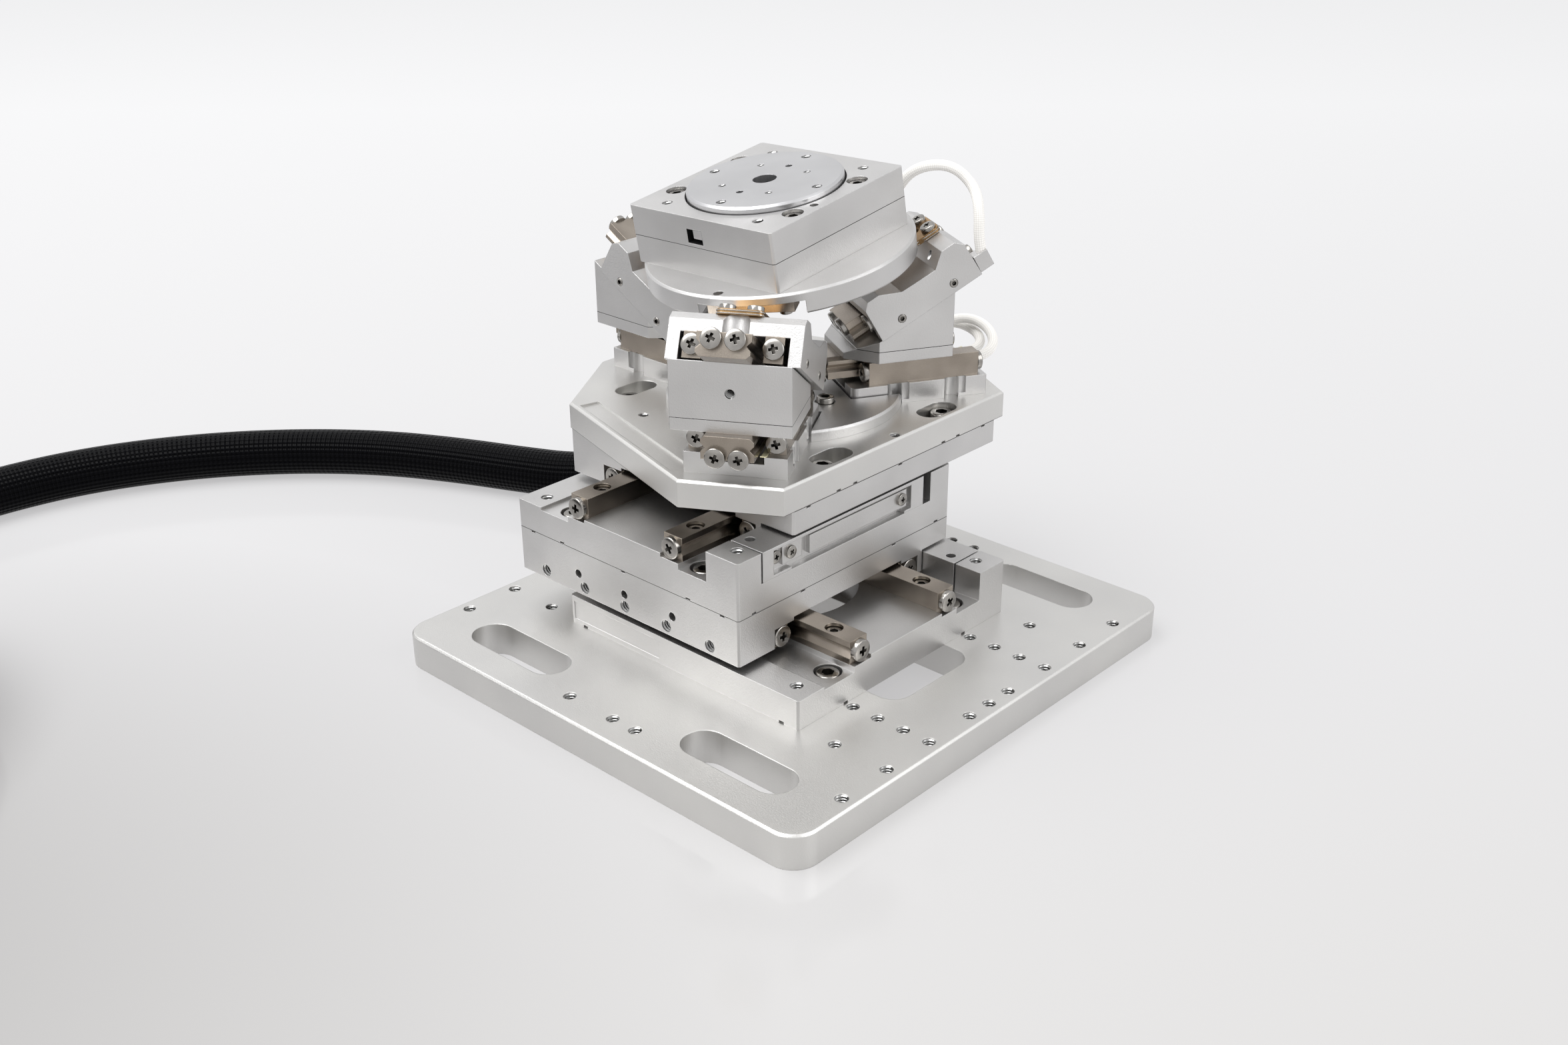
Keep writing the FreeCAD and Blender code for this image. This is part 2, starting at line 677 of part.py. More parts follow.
def leg_runner(name):
    block = runner_block(True)
    start = WEDGE_FACE[name] + RUNNER_OVERHANG - RUNNER_LENGTH
    block.translate(V(start, 0, LEG_BASE_HEIGHT + RUNNER_LIFT))
    return set_leg(block, name)


def wedge_plan(face):
    """Plan of the wedge and its plate: square outside, narrowing to a nose inside."""
    half = WEDGE_WIDTH / 2
    nose = WEDGE_NOSE / 2
    return [(face, -half), (face, half), (face - WEDGE_SIDE, half),
            (face - WEDGE_DEPTH, nose), (face - WEDGE_DEPTH, -nose),
            (face - WEDGE_SIDE, -half)]


def above_incline(face):
    """The space above the inclined plane, which the head slides in."""
    top = wedge_top()
    drop = math.tan(math.radians(INCLINE))
    run = WEDGE_DEPTH + 1.0
    return prism_y([(face, top), (face, top + 1), (face - run, top + 1),
                    (face - run, top - run * drop)], -WEDGE_WIDTH, WEDGE_WIDTH)


def leg_wedge_plate(name):
    face = WEDGE_FACE[name]
    low = wedge_bottom()
    plate = prism_z(wedge_plan(face), low, low + WEDGE_PLATE)
    return set_leg(plate.cut(above_incline(face)), name)


def leg_wedge(name):
    face = WEDGE_FACE[name]
    low = wedge_bottom() + WEDGE_PLATE
    top = wedge_top()
    body = prism_z(wedge_plan(face), low, top)
    tap = cylinder(face - WEDGE_TAP_DEPTH, 0, low + 0.47 * WEDGE_RISE, WEDGE_TAP_RADIUS,
                   WEDGE_TAP_DEPTH, X_AXIS)
    return set_leg(body.cut([above_incline(face), tap]), name)


def upper_runner(name):
    block = runner_block(False)
    block.translate(V(UPPER_RUNNER_BACK, 0, 0))
    return set_incline(block, name)


def housing_profile():
    """Side outline of the inclined housing, with the scoop that clears the disc."""
    n = HOUSING_HEIGHT
    g = HOUSING_GAP
    return [
        (0, g), (HOUSING_LENGTH, g), (HOUSING_LENGTH - 0.3, n - 1.2),
        (HOUSING_LENGTH - 1.6, n), (HOUSING_LENGTH - 4.2, n),
        (HOUSING_LENGTH - 6.6, HOUSING_SCOOP),
        (HOUSING_LENGTH - HUMP_BACK, HOUSING_SCOOP + 0.2),
        (HOUSING_LENGTH - HUMP_BACK - 3.6, n - 0.1), (1.0, n - 0.1), (0, n - 1.3),
    ]


def housing_slide(name):
    return HOUSING_TIP[name] - HOUSING_LENGTH


def leg_housing(name):
    half = HOUSING_WIDTH / 2
    body = prism_y(housing_profile(), -half, half)
    inside = HOUSING_WINDOW / 2
    tunnel = box(-1, HOUSING_LENGTH + 1, -inside, inside, 0, HOUSING_CEILING)
    channel = cylinder(HOUSING_LENGTH, 0, HOUSING_CEILING, HOUSING_CHANNEL, HOUSING_HEIGHT)
    tap = cylinder(HOUSING_LENGTH - 6.6, -6.6, HOUSING_SCOOP + 1.0, 0.6, 4.0, X_AXIS)
    cuts = [tunnel, channel, tap]
    for back in SET_SCREW_BACK:
        for side in (-1, 1):
            start = side * half - (SET_SCREW_DEPTH if side > 0 else 0)
            cuts.append(cylinder(HOUSING_LENGTH - back, start, SET_SCREW_HEIGHT,
                                 SET_SCREW_RADIUS, SET_SCREW_DEPTH, Y_AXIS))
    return set_incline(body.cut(cuts), name, housing_slide(name))


def upper_tracks(name):
    pair = track_pair()
    pair.translate(V(TRACK_INSET, 0, HOUSING_CEILING - TRACK_HEIGHT))
    return set_incline(pair, name, housing_slide(name))


def leg_flexure(name):
    half = FLEX_WIDTH / 2
    low = HOUSING_HEIGHT
    end = HOUSING_LENGTH - FLEX_BACK
    plate = box(end - FLEX_LENGTH, end, -half, half, low, low + FLEX_THICK)
    plate = plate.makeFillet(1.0, upright_edges(plate))
    plate = plate.cut(cylinder(HOUSING_LENGTH - FLEX_HOLE_BACK, 0, low, FLEX_HOLE, FLEX_THICK))
    return set_incline(plate, name, housing_slide(name))


def ball_height():
    return HOUSING_HEIGHT + FLEX_THICK + BALL_RISE


def leg_ball(name):
    """Ball on a short stem at the inner end of the flexure plate."""
    at = HOUSING_LENGTH - BALL_BACK
    stem = cylinder(at, 0, HOUSING_HEIGHT + FLEX_THICK, BALL_STEM, BALL_RISE)
    ball = Part.makeSphere(BALL_RADIUS, V(at, 0, ball_height()))
    floor = box(at - 3, at + 3, -3, 3, HOUSING_HEIGHT - 3,
                HOUSING_HEIGHT + FLEX_THICK)
    return set_incline(stem.fuse(ball).cut(floor), name, housing_slide(name))


def ball_centre(name):
    marker = Part.Vertex(V(HOUSING_LENGTH - BALL_BACK, 0, ball_height()))
    return set_incline(marker, name, housing_slide(name)).Point


def platform_rotation():
    tilt_x = FreeCAD.Rotation(X_AXIS, TILT_X)
    tilt_y = FreeCAD.Rotation(Y_AXIS, TILT_Y)
    turn = FreeCAD.Rotation(Z_AXIS, TURN_Z)
    return tilt_x * tilt_y * turn


def set_platform(shape):
    """Place a part drawn with Z = 0 at the top face of the rotation stage's body."""
    placed = shape.copy()
    placed.Placement = FreeCAD.Placement(V(PLATFORM_X, PLATFORM_Y, PLATFORM_Z), platform_rotation()).multiply(
        placed.Placement)
    return placed


def to_platform(point):
    return platform_rotation().inverted().multVec(point - V(PLATFORM_X, PLATFORM_Y, PLATFORM_Z))


def disc_top():
    return -ROTOR_TOP_THICK - ROTOR_BOTTOM_THICK


def set_disc(shape, angle):
    placed = shape.copy()
    placed.rotate(V(0, 0, 0), Z_AXIS, angle)
    placed.translate(V(DISC_SHIFT_X, DISC_SHIFT_Y, 0))
    return placed


def platform_disc():
    top = disc_top()
    disc = cylinder(0, 0, top - DISC_THICK, DISC_RADIUS, DISC_THICK)
    disc = disc.makeChamfer(EDGE_BREAK, [e for e in disc.Edges if len(e.Vertexes) == 1])
    disc.translate(V(DISC_SHIFT_X, DISC_SHIFT_Y, 0))
    cuts = []
    for name in LEG_NAMES:
        low = top - DISC_THICK
        cut = box(CUTOUT_START, DISC_RADIUS + 2, -CUTOUT_HALF, CUTOUT_HALF, low,
                  low + CUTOUT_DEPTH)
        cuts.append(set_disc(cut, LEG_ANGLES[name]))
    cuts.append(cylinder(DISC_HOLE_X, DISC_HOLE_Y, top - DISC_THICK, DISC_HOLE_RADIUS,
                         DISC_THICK))
    return set_platform(disc.cut(cuts))


def guide_bar(name):
    """Short guide in a cut-out of the disc, with the cup that meets the leg's ball."""
    ball = to_platform(ball_centre(name))
    top = disc_top() - DISC_THICK + CUTOUT_DEPTH
    angle = math.radians(LEG_ANGLES[name])
    reach = (ball.x - DISC_SHIFT_X) * math.cos(angle) + (ball.y - DISC_SHIFT_Y) * math.sin(angle)
    bar = box(reach - GUIDE_WIDTH / 2, reach + GUIDE_WIDTH / 2, -GUIDE_LENGTH / 2,
              GUIDE_LENGTH / 2, top - GUIDE_HEIGHT, top)
    bar = set_disc(bar, LEG_ANGLES[name])
    low = ball.z + BALL_RADIUS + BALL_GAP
    cup = cylinder(ball.x, ball.y, low, CUP_RADIUS, top - low)
    return set_platform(bar.fuse(cup))


def rotation_bottom():
    half = ROTOR_SIDE / 2
    body = box(-half, half, -half, half, disc_top(), -ROTOR_TOP_THICK)
    body = body.makeChamfer(EDGE_BREAK, upright_edges(body))
    bore = cylinder(0, 0, -ROTOR_TOP_THICK - SHAFT_DEPTH, ROTOR_SHAFT + SHAFT_CLEARANCE,
                    SHAFT_DEPTH)
    pocket = slot_pocket(half)
    return set_platform(body.cut([bore, pocket]))


def slot_pocket(half):
    """Opening in the rear face that the white cable enters with room to move."""
    low = disc_top() + 0.3
    high = -ROTOR_TOP_THICK - 0.3
    return box(WIRE_EXIT_X - WIRE_POCKET, WIRE_EXIT_X + WIRE_POCKET,
               half - WIRE_POCKET_DEPTH, half, low, high)


def rotation_top():
    half = ROTOR_SIDE / 2
    body = box(-half, half, -half, half, -ROTOR_TOP_THICK, 0)
    body = body.makeChamfer(EDGE_BREAK, upright_edges(body))
    cuts = [cylinder(0, 0, -ROTOR_DEPTH - ROTOR_CLEARANCE, ROTOR_RADIUS + ROTOR_CLEARANCE,
                     ROTOR_DEPTH + ROTOR_CLEARANCE),
            cylinder(0, 0, -ROTOR_TOP_THICK, ROTOR_SHAFT + SHAFT_CLEARANCE, ROTOR_TOP_THICK)]
    for side_x in (-1, 1):
        for side_y in (-1, 1):
            cuts.append(cylinder(side_x * BODY_SCREW_X, side_y * BODY_SCREW_Y, -2.0,
                                 BODY_SCREW_CBORE, 2.0))
            cuts.append(cylinder(side_x * BODY_TAP_X, side_y * BODY_TAP_Y, -3.0,
                                 BODY_TAP_RADIUS, 3.0))
    cuts.append(cylinder(BODY_PIN_X, BODY_PIN_Y, -2.0, BODY_PIN_RADIUS, 2.0))
    cuts.append(box(BODY_WINDOW_FROM, BODY_WINDOW_TO, -half, -half + BODY_WINDOW_DEPTH,
                    -BODY_WINDOW_TOP - BODY_WINDOW_HEIGHT, -BODY_WINDOW_TOP))
    return set_platform(body.cut(cuts))


def rotor():
    """Turning table of the rotation stage, on its shaft."""
    top = ROTOR_RISE
    table = cylinder(0, 0, -ROTOR_DEPTH, ROTOR_RADIUS, ROTOR_DEPTH + top)
    rim = [e for e in table.Edges if len(e.Vertexes) == 1 and e.Vertexes[0].Z > top - 1e-6]
    table = table.makeChamfer(EDGE_BREAK, rim)
    shaft_low = -ROTOR_TOP_THICK - SHAFT_DEPTH + SHAFT_CLEARANCE
    table = table.fuse(cylinder(0, 0, shaft_low, ROTOR_SHAFT, -ROTOR_DEPTH - shaft_low))
    cuts = [cylinder(0, 0, shaft_low, ROTOR_BORE, top - shaft_low)]
    for k in range(4):
        a = math.radians(90 * k + ROTOR_TURN)
        cuts.append(cylinder(ROTOR_BIG_CIRCLE * math.cos(a), ROTOR_BIG_CIRCLE * math.sin(a),
                             top - 3.0, ROTOR_BIG_HOLE, 3.0))
    for angle in (45, 90, 135, -45, -90, -135):
        a = math.radians(angle + ROTOR_TURN)
        circle = ROTOR_PIN_CIRCLE if angle in (90, -90) else ROTOR_SMALL_CIRCLE
        cuts.append(cylinder(circle * math.cos(a), circle * math.sin(a), top - 2.0,
                             ROTOR_SMALL_HOLE, 2.0))
    return set_platform(table.cut(cuts))


# Route of the sleeve: its middle line from the clamp to the coil, lying on the table
LIE = SLEEVE_RADIUS + 0.15
REST = PLATE_THICK + SLEEVE_RADIUS + 0.35
SLEEVE_ROUTE = [
    (-40.4, 36.4, REST), (-50.6, 30.4, REST - 0.1), (-61.4, 23.6, 7.8), (-72.8, 16.8, LIE),
    (-84.9, 11.0, LIE), (-98.1, 5.4, LIE), (-112.7, -2.4, LIE), (-125.8, -12.8, LIE),
    (-136.9, -24.9, LIE), (-145.6, -38.2, LIE), (-151.5, -51.8, LIE), (-154.2, -65.6, LIE),
    (-154.6, -79.6, LIE), (-154.7, -93.6, LIE), (-154.6, -107.6, LIE), (-154.4, -121.6, LIE),
    (-154.1, -135.4, LIE), (-153.7, -149.4, LIE),
]
WIRE_ARCH = [(-1.7, 32.8, 76.8), (3.9, 35.8, 78.0), (7.8, 37.5, 74.6)]
POD_WIRES = [
    [(33.6, 3.4, 1.9), (38.6, 3.6, 2.1), (42.0, 6.2, 3.3), (42.6, 10.6, 5.0), (40.4, 14.4, 6.0),
     (36.2, 15.9, 5.2), (32.0, 15.0, 3.0), (28.4, 12.7, 0.2)],
    [(33.6, 6.9, 1.9), (37.8, 7.3, 1.9), (41.0, 9.6, 2.5), (41.6, 14.0, 3.4), (39.2, 18.1, 4.1),
     (34.6, 19.2, 3.7), (29.8, 17.7, 2.2), (25.8, 14.8, 0.2)],
]


def rounded_path(points):
    """Straight runs joined by tangent arcs, and the smallest arc radius."""
    corners = [V(*p) for p in points]
    edges = []
    radii = []
    start = corners[0]
    for before, here, after in zip(corners, corners[1:], corners[2:]):
        inward = before - here
        outward = after - here
        shorter = min(inward.Length, outward.Length)
        turn = math.pi - inward.getAngle(outward)
        radius = 0.45 * shorter / math.tan(turn / 2)
        radii.append(radius)
        inward.normalize()
        outward.normalize()
        first = here + inward * (0.45 * shorter)
        last = here + outward * (0.45 * shorter)
        middle_way = (inward + outward).normalize()
        centre = here + middle_way * (radius / math.cos(turn / 2))
        middle = centre - middle_way * radius
        edges.append(Part.LineSegment(start, first).toShape())
        edges.append(Part.Arc(first, middle, last).toShape())
        start = last
    edges.append(Part.LineSegment(start, corners[-1]).toShape())
    return Part.Wire(edges), min(radii)


def tube(points, radius):
    path, tightest = rounded_path(points)
    print("tube: length", round(path.Length, 1), "tightest radius", round(tightest, 1))
    start = V(*points[0])
    heading = V(*points[1]) - start
    ring = Part.Wire([Part.makeCircle(radius, start, heading)])
    solid = path.makePipeShell([ring], True, False)
    print("volume share", round(solid.Volume / (math.pi * radius ** 2 * path.Length), 4))
    return solid


def sleeve():
    return tube(SLEEVE_ROUTE, SLEEVE_RADIUS)


def sleeve_clamp():
    """Saddle on the base plate's edge that grips the sleeve's end."""
    wide = CLAMP_WIDTH / 2
    top = REST + SLEEVE_RADIUS + CLAMP_WALL
    block = box(-CLAMP_LENGTH / 2, CLAMP_LENGTH / 2, -wide, wide, PLATE_THICK, top)
    long_edges = [e for e in block.Edges
                  if all(v.Z > top - 1e-6 for v in e.Vertexes)
                  and abs(e.Vertexes[0].Y - e.Vertexes[1].Y) < 1e-6]
    block = block.makeFillet(3.0, long_edges)
    block.translate(V(CLAMP_X, CLAMP_Y, 0))
    return block


def coil_centre():
    """The sleeve runs into the coil's lowest turn along a tangent."""
    before = V(*SLEEVE_ROUTE[-2])
    end = V(*SLEEVE_ROUTE[-1])
    heading = end - before
    heading.normalize()
    across = V(-heading.y, heading.x, 0)
    centre = end + across * COIL_RADIUS
    return V(centre.x, centre.y, 0)


def sleeve_coil():
    """Outer shape of the coiled length: turns lying straight on one another."""
    low = LIE - SLEEVE_RADIUS
    top = low + 2 * SLEEVE_RADIUS * COIL_TURNS
    outer = COIL_RADIUS + SLEEVE_RADIUS
    inner = COIL_RADIUS - SLEEVE_RADIUS
    profile = [V(inner, 0, low), V(outer, 0, low), V(outer, 0, top), V(inner, 0, top)]
    face = Part.Face(Part.makePolygon(profile + profile[:1]))
    ring = face.revolve(V(0, 0, 0), Z_AXIS, 360)
    ring.translate(coil_centre())
    return ring


def tail_route():
    """From the coil's top turn over its edge and down to the connector inside it."""
    angle = math.radians(COIL_EXIT)
    start = V(COIL_RADIUS * math.cos(angle), COIL_RADIUS * math.sin(angle), 0)
    middle = start * (1 - TAIL_BEND / COIL_RADIUS)
    rest = CONNECTOR_RADIUS + CONNECTOR_NUT + 0.15
    top = LIE + 2 * SLEEVE_RADIUS * (COIL_TURNS - 1)
    heights = [top, top + 0.1, top - 0.1, top - 1.2, top - 4.2, rest + 1.0, rest + 0.2, rest]
    route = []
    for k, height in enumerate(heights):
        step = TAIL_STEP * k if k < 7 else TAIL_STEP * 6.7
        a = angle + math.radians(step)
        point = coil_centre() + middle + V(math.cos(a), math.sin(a), 0) * TAIL_BEND
        route.append((point.x, point.y, height))
    return route


def sleeve_tail():
    return tube(tail_route(), SLEEVE_RADIUS)


def connector():
    """Round plug at the far end of the cable, lying inside the coil."""
    end = V(*tail_route()[-1])
    heading = end - V(*tail_route()[-2])
    heading = V(heading.x, heading.y, 0)
    heading.normalize()
    body = cylinder(0, 0, 0, CONNECTOR_RADIUS, CONNECTOR_LENGTH, X_AXIS)
    nut = cylinder(CONNECTOR_LENGTH * 0.3, 0, 0, CONNECTOR_RADIUS + CONNECTOR_NUT,
                   CONNECTOR_LENGTH * 0.4, X_AXIS)
    socket = cylinder(CONNECTOR_LENGTH - 6.0, 0, 0, CONNECTOR_RADIUS - 1.2, 6.0, X_AXIS)
    plug = body.fuse(nut).cut(socket)
    plug.rotate(V(0, 0, 0), Z_AXIS, math.degrees(math.atan2(heading.y, heading.x)))
    plug.translate(end)
    return plug


def wire_start():
    """Just inside the pocket in the rotation stage's rear face."""
    return V(PLATFORM_X, PLATFORM_Y, PLATFORM_Z) + platform_rotation().multVec(
        V(WIRE_EXIT_X, ROTOR_SIDE / 2 - 1.0, -WIRE_EXIT_DEPTH))


def incline_point(name, along, across, above):
    marker = Part.Vertex(V(HOUSING_LENGTH + along, across, above))
    return set_incline(marker, name, housing_slide(name)).Point


def stage_wire():
    """White cable that arches from the rotation stage to the rear leg's housing."""
    start = wire_start()
    first = start + platform_rotation().multVec(V(0.3, 5.5, 0.5))
    along, across, above = WIRE_END
    turn = incline_point("b", along + 3.7, across + 0.4, above + 8.7)
    down = incline_point("b", along + 0.7, across, above + 3.7)
    end = incline_point("b", along, across, above)
    route = [start, first] + [V(*p) for p in WIRE_ARCH] + [turn, down, end]
    return tube([tuple(p) for p in route], WIRE_RADIUS)


def wire_clip():
    """Clip on the end of the rear leg's housing that holds the white cable's lower end."""
    along, across, above = WIRE_END
    low = above - 0.3
    side = HOUSING_WIDTH / 2
    clip = box(HOUSING_LENGTH, HOUSING_LENGTH + CLIP_LENGTH, -side, -side + 2 * WIRE_RADIUS + 0.4,
               low, low + CLIP_HEIGHT)
    return set_incline(clip, "b", housing_slide("b"))


def pod_wires():
    """Two short cable loops behind the rear leg, from its base back to the pod plate."""
    return set_leg(Part.makeCompound([tube(route, WIRE_RADIUS) for route in POD_WIRES]), "b")


def save(name, shape):
    shape.exportStep(os.path.join("parts", name + ".step"))
    return shape


def build():
    os.makedirs("parts", exist_ok=True)
    parts = {
        "base_plate": base_plate(),
        "lower_base": set_lower(stage_base()),
        "lower_cover": set_lower(stage_cover()),
        "lower_fixed_rails": set_lower(stage_rails(True)),
        "lower_slider": set_lower(stage_slider(), X_OFFSET),
        "lower_moving_rails": set_lower(stage_rails(False), X_OFFSET),
        "upper_base": set_upper(stage_base()),
        "upper_cover": set_upper(stage_cover()),
        "upper_fixed_rails": set_upper(stage_rails(True)),
        "upper_slider": set_upper(stage_slider(), Y_OFFSET),
        "upper_moving_rails": set_upper(stage_rails(False), Y_OFFSET),
        "pod_plate": pod_plate(),
        "pod_hub": hub_plate(),
        "platform_disc": platform_disc(),
        "rotation_bottom": rotation_bottom(),
        "rotation_top": rotation_top(),
        "rotor": rotor(),
        "sleeve": sleeve(),
        "sleeve_clamp": sleeve_clamp(),
        "sleeve_coil": sleeve_coil(),
        "sleeve_tail": sleeve_tail(),
        "connector": connector(),
        "stage_wire": stage_wire(),
        "wire_clip": wire_clip(),
        "pod_wires": pod_wires(),
    }
    for name in LEG_NAMES:
        leg = "leg_" + name
        parts[leg + "_base"] = set_leg(leg_base(), name)
        parts[leg + "_tracks"] = leg_tracks(name)
        parts[leg + "_runner"] = leg_runner(name)
        parts[leg + "_wedge_plate"] = leg_wedge_plate(name)
        parts[leg + "_wedge"] = leg_wedge(name)
        parts[leg + "_upper_runner"] = upper_runner(name)
        parts[leg + "_housing"] = leg_housing(name)
        parts[leg + "_upper_tracks"] = upper_tracks(name)
        parts[leg + "_flexure"] = leg_flexure(name)
        parts[leg + "_ball"] = leg_ball(name)
        parts[leg + "_guide"] = guide_bar(name)
    for name, shape in parts.items():
        save(name, shape)
    for name in LEG_NAMES:
        print("ball", name, ball_centre(name), "in platform", to_platform(ball_centre(name)))


build()
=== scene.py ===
import math
import bpy
from mathutils import Matrix, Vector


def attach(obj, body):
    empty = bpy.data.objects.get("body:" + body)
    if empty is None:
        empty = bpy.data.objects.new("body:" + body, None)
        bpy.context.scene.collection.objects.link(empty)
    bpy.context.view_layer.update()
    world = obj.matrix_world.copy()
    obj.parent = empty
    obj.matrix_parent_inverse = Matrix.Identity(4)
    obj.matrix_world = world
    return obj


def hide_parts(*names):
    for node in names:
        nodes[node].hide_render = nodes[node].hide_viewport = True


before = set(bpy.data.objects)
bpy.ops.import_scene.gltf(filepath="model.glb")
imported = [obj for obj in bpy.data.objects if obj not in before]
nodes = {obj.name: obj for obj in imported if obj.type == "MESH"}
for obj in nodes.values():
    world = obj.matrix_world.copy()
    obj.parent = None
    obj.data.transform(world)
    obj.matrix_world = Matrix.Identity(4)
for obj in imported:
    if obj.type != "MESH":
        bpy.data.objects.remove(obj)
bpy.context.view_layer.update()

mm = 0.001
near = 0.01  # a point this close to a plane counts as on it, in millimetres
legs = ("a", "b", "c")
corners = [(x, y) for x in (-1, 1) for y in (-1, 1)]


# places, all in millimetres and degrees, as the solids have them
layout = {
    "plateTop": 5.8, "upperStage": 20.0, "xShift": -12.3, "yShift": 12.5,
    "podBottom": 34.2, "legFoot": 38.8,
    "legTurn": {"a": -60.0, "b": 60.0, "c": 180.0},
    "wedgeFace": {"a": 36.5, "b": 27.0, "c": 36.5},
    "housingTip": {"a": -1.6, "b": 5.2, "c": -2.6},
    "wedgeTop": 19.4, "incline": 30.0, "housingLength": 20.0,
    "platform": (-14.08, 10.3, 76.07), "tilt": (8.76, -1.95, -0.27),
    "discMiddle": (0.8, 0.5),
}


def move(x, y, z):
    return Matrix.Translation((x * mm, y * mm, z * mm))


def turn(degrees, axis="Z"):
    return Matrix.Rotation(math.radians(degrees), 4, axis)


def stagePlace(level, moving):
    if level == "lower":
        return move(layout["xShift"] if moving else 0, 0, layout["plateTop"])
    across = layout["yShift"] if moving else 0
    return move(layout["xShift"], across, layout["upperStage"]) @ turn(-90)


def podPlace(height):
    return move(layout["xShift"], layout["yShift"], height)


def legPlace(leg):
    return podPlace(layout["legFoot"]) @ turn(layout["legTurn"][leg])


def legName(leg):
    return "leg" + leg.upper()


def inclinePlace(leg, slid=True):
    # x runs up the incline; slid is True for what the housing carries
    shift = layout["housingTip"][leg] - layout["housingLength"] if slid else 0
    return (legPlace(leg) @ move(layout["wedgeFace"][leg], 0, layout["wedgeTop"])
            @ turn(-layout["incline"], "Y") @ move(shift, 0, 0))


def platformPlace():
    return move(*layout["platform"]) @ turn(layout["tilt"][0], "X") @ turn(
        layout["tilt"][1], "Y") @ turn(layout["tilt"][2])


def facing(axis):
    # turns a piece drawn along +z so that it points along the named direction
    return {"+x": turn(90, "Y"), "-x": turn(-90, "Y"), "+y": turn(-90, "X"),
            "-y": turn(90, "X"), "+z": Matrix(), "-z": turn(180, "X")}[axis]


def pointsAt(place, points):
    return [place @ (Vector(point) * mm) for point in points]


def deselect():
    bpy.ops.object.select_all(action="DESELECT")


def choose(piece):
    # the next operator works on this piece alone
    deselect()
    piece.select_set(True)
    bpy.context.view_layer.objects.active = piece


# materials

noiseLow, noiseHigh = 0.3, 0.7  # a noise texture mostly stays between these values
roughSpread = 0.05
edgeSamples = 4
bumpDepth = {"metal": 0.02, "turned": 0.03, "plastic": 0.1}  # in millimetres
# hairline joint between two bodies, in millimetres; only on faces that don't lean past 0.5
seam = {"half": 0.055, "lean": 0.5, "colour": "#2B2A29"}


def hexColour(code, alpha=1.0):
    # sRGB hex to the linear values that Blender's sockets want
    channels = [int(code[i:i + 2], 16) / 255 for i in (1, 3, 5)]
    linear = [c / 12.92 if c <= 0.04045 else ((c + 0.055) / 1.055) ** 2.4 for c in channels]
    return (*linear, alpha)


def addNode(material, kind, settings=None, inputs=None, links=None):
    # one node with its settings, its input values and its links {input: (node, output)}
    tree = material.node_tree
    node = tree.nodes.new(kind)
    for name, value in (settings or {}).items():
        setattr(node, name, value)
    for name, value in (inputs or {}).items():
        node.inputs[name].default_value = value
    for name, (source, output) in (links or {}).items():
        tree.links.new(source.outputs[output], node.inputs[name])
    return node


def newMaterial(name):
    material = bpy.data.materials.new(name)
    material.use_nodes = True
    material.node_tree.nodes.clear()
    return material


def setRamp(node, stops):
    # stops are pairs of position and hex colour
    ramp = node.color_ramp
    while len(ramp.elements) < len(stops):
        ramp.elements.new(0.5)
    for element, (position, code) in zip(ramp.elements, stops):
        element.position = position
        element.color = hexColour(code)


def seamMask(material, place, planes):
    # 1 on upright faces within half a hairline of a joint plane (normal, distance in mm)
    face = addNode(material, "ShaderNodeNewGeometry")
    mask = None
    for normal, distance in planes:
        level = addNode(material, "ShaderNodeVectorMath", {"operation": "DOT_PRODUCT"},
                        {1: normal}, {0: (place, "Object")})
        close = addNode(material, "ShaderNodeMath", {"operation": "COMPARE"},
                        {1: distance * mm, 2: seam["half"] * mm}, {0: (level, "Value")})
        lean = addNode(material, "ShaderNodeVectorMath", {"operation": "DOT_PRODUCT"},
                       {1: normal}, {0: (face, "True Normal")})
        upright = addNode(material, "ShaderNodeMath", {"operation": "COMPARE"},
                          {1: 0.0, 2: seam["lean"]}, {0: (lean, "Value")})
        both = addNode(material, "ShaderNodeMath", {"operation": "MULTIPLY"}, links={
            0: (close, "Value"), 1: (upright, "Value")})
        mask = both if mask is None else addNode(
            material, "ShaderNodeMath", {"operation": "MAXIMUM"},
            links={0: (mask, "Value"), 1: (both, "Value")})
    return mask


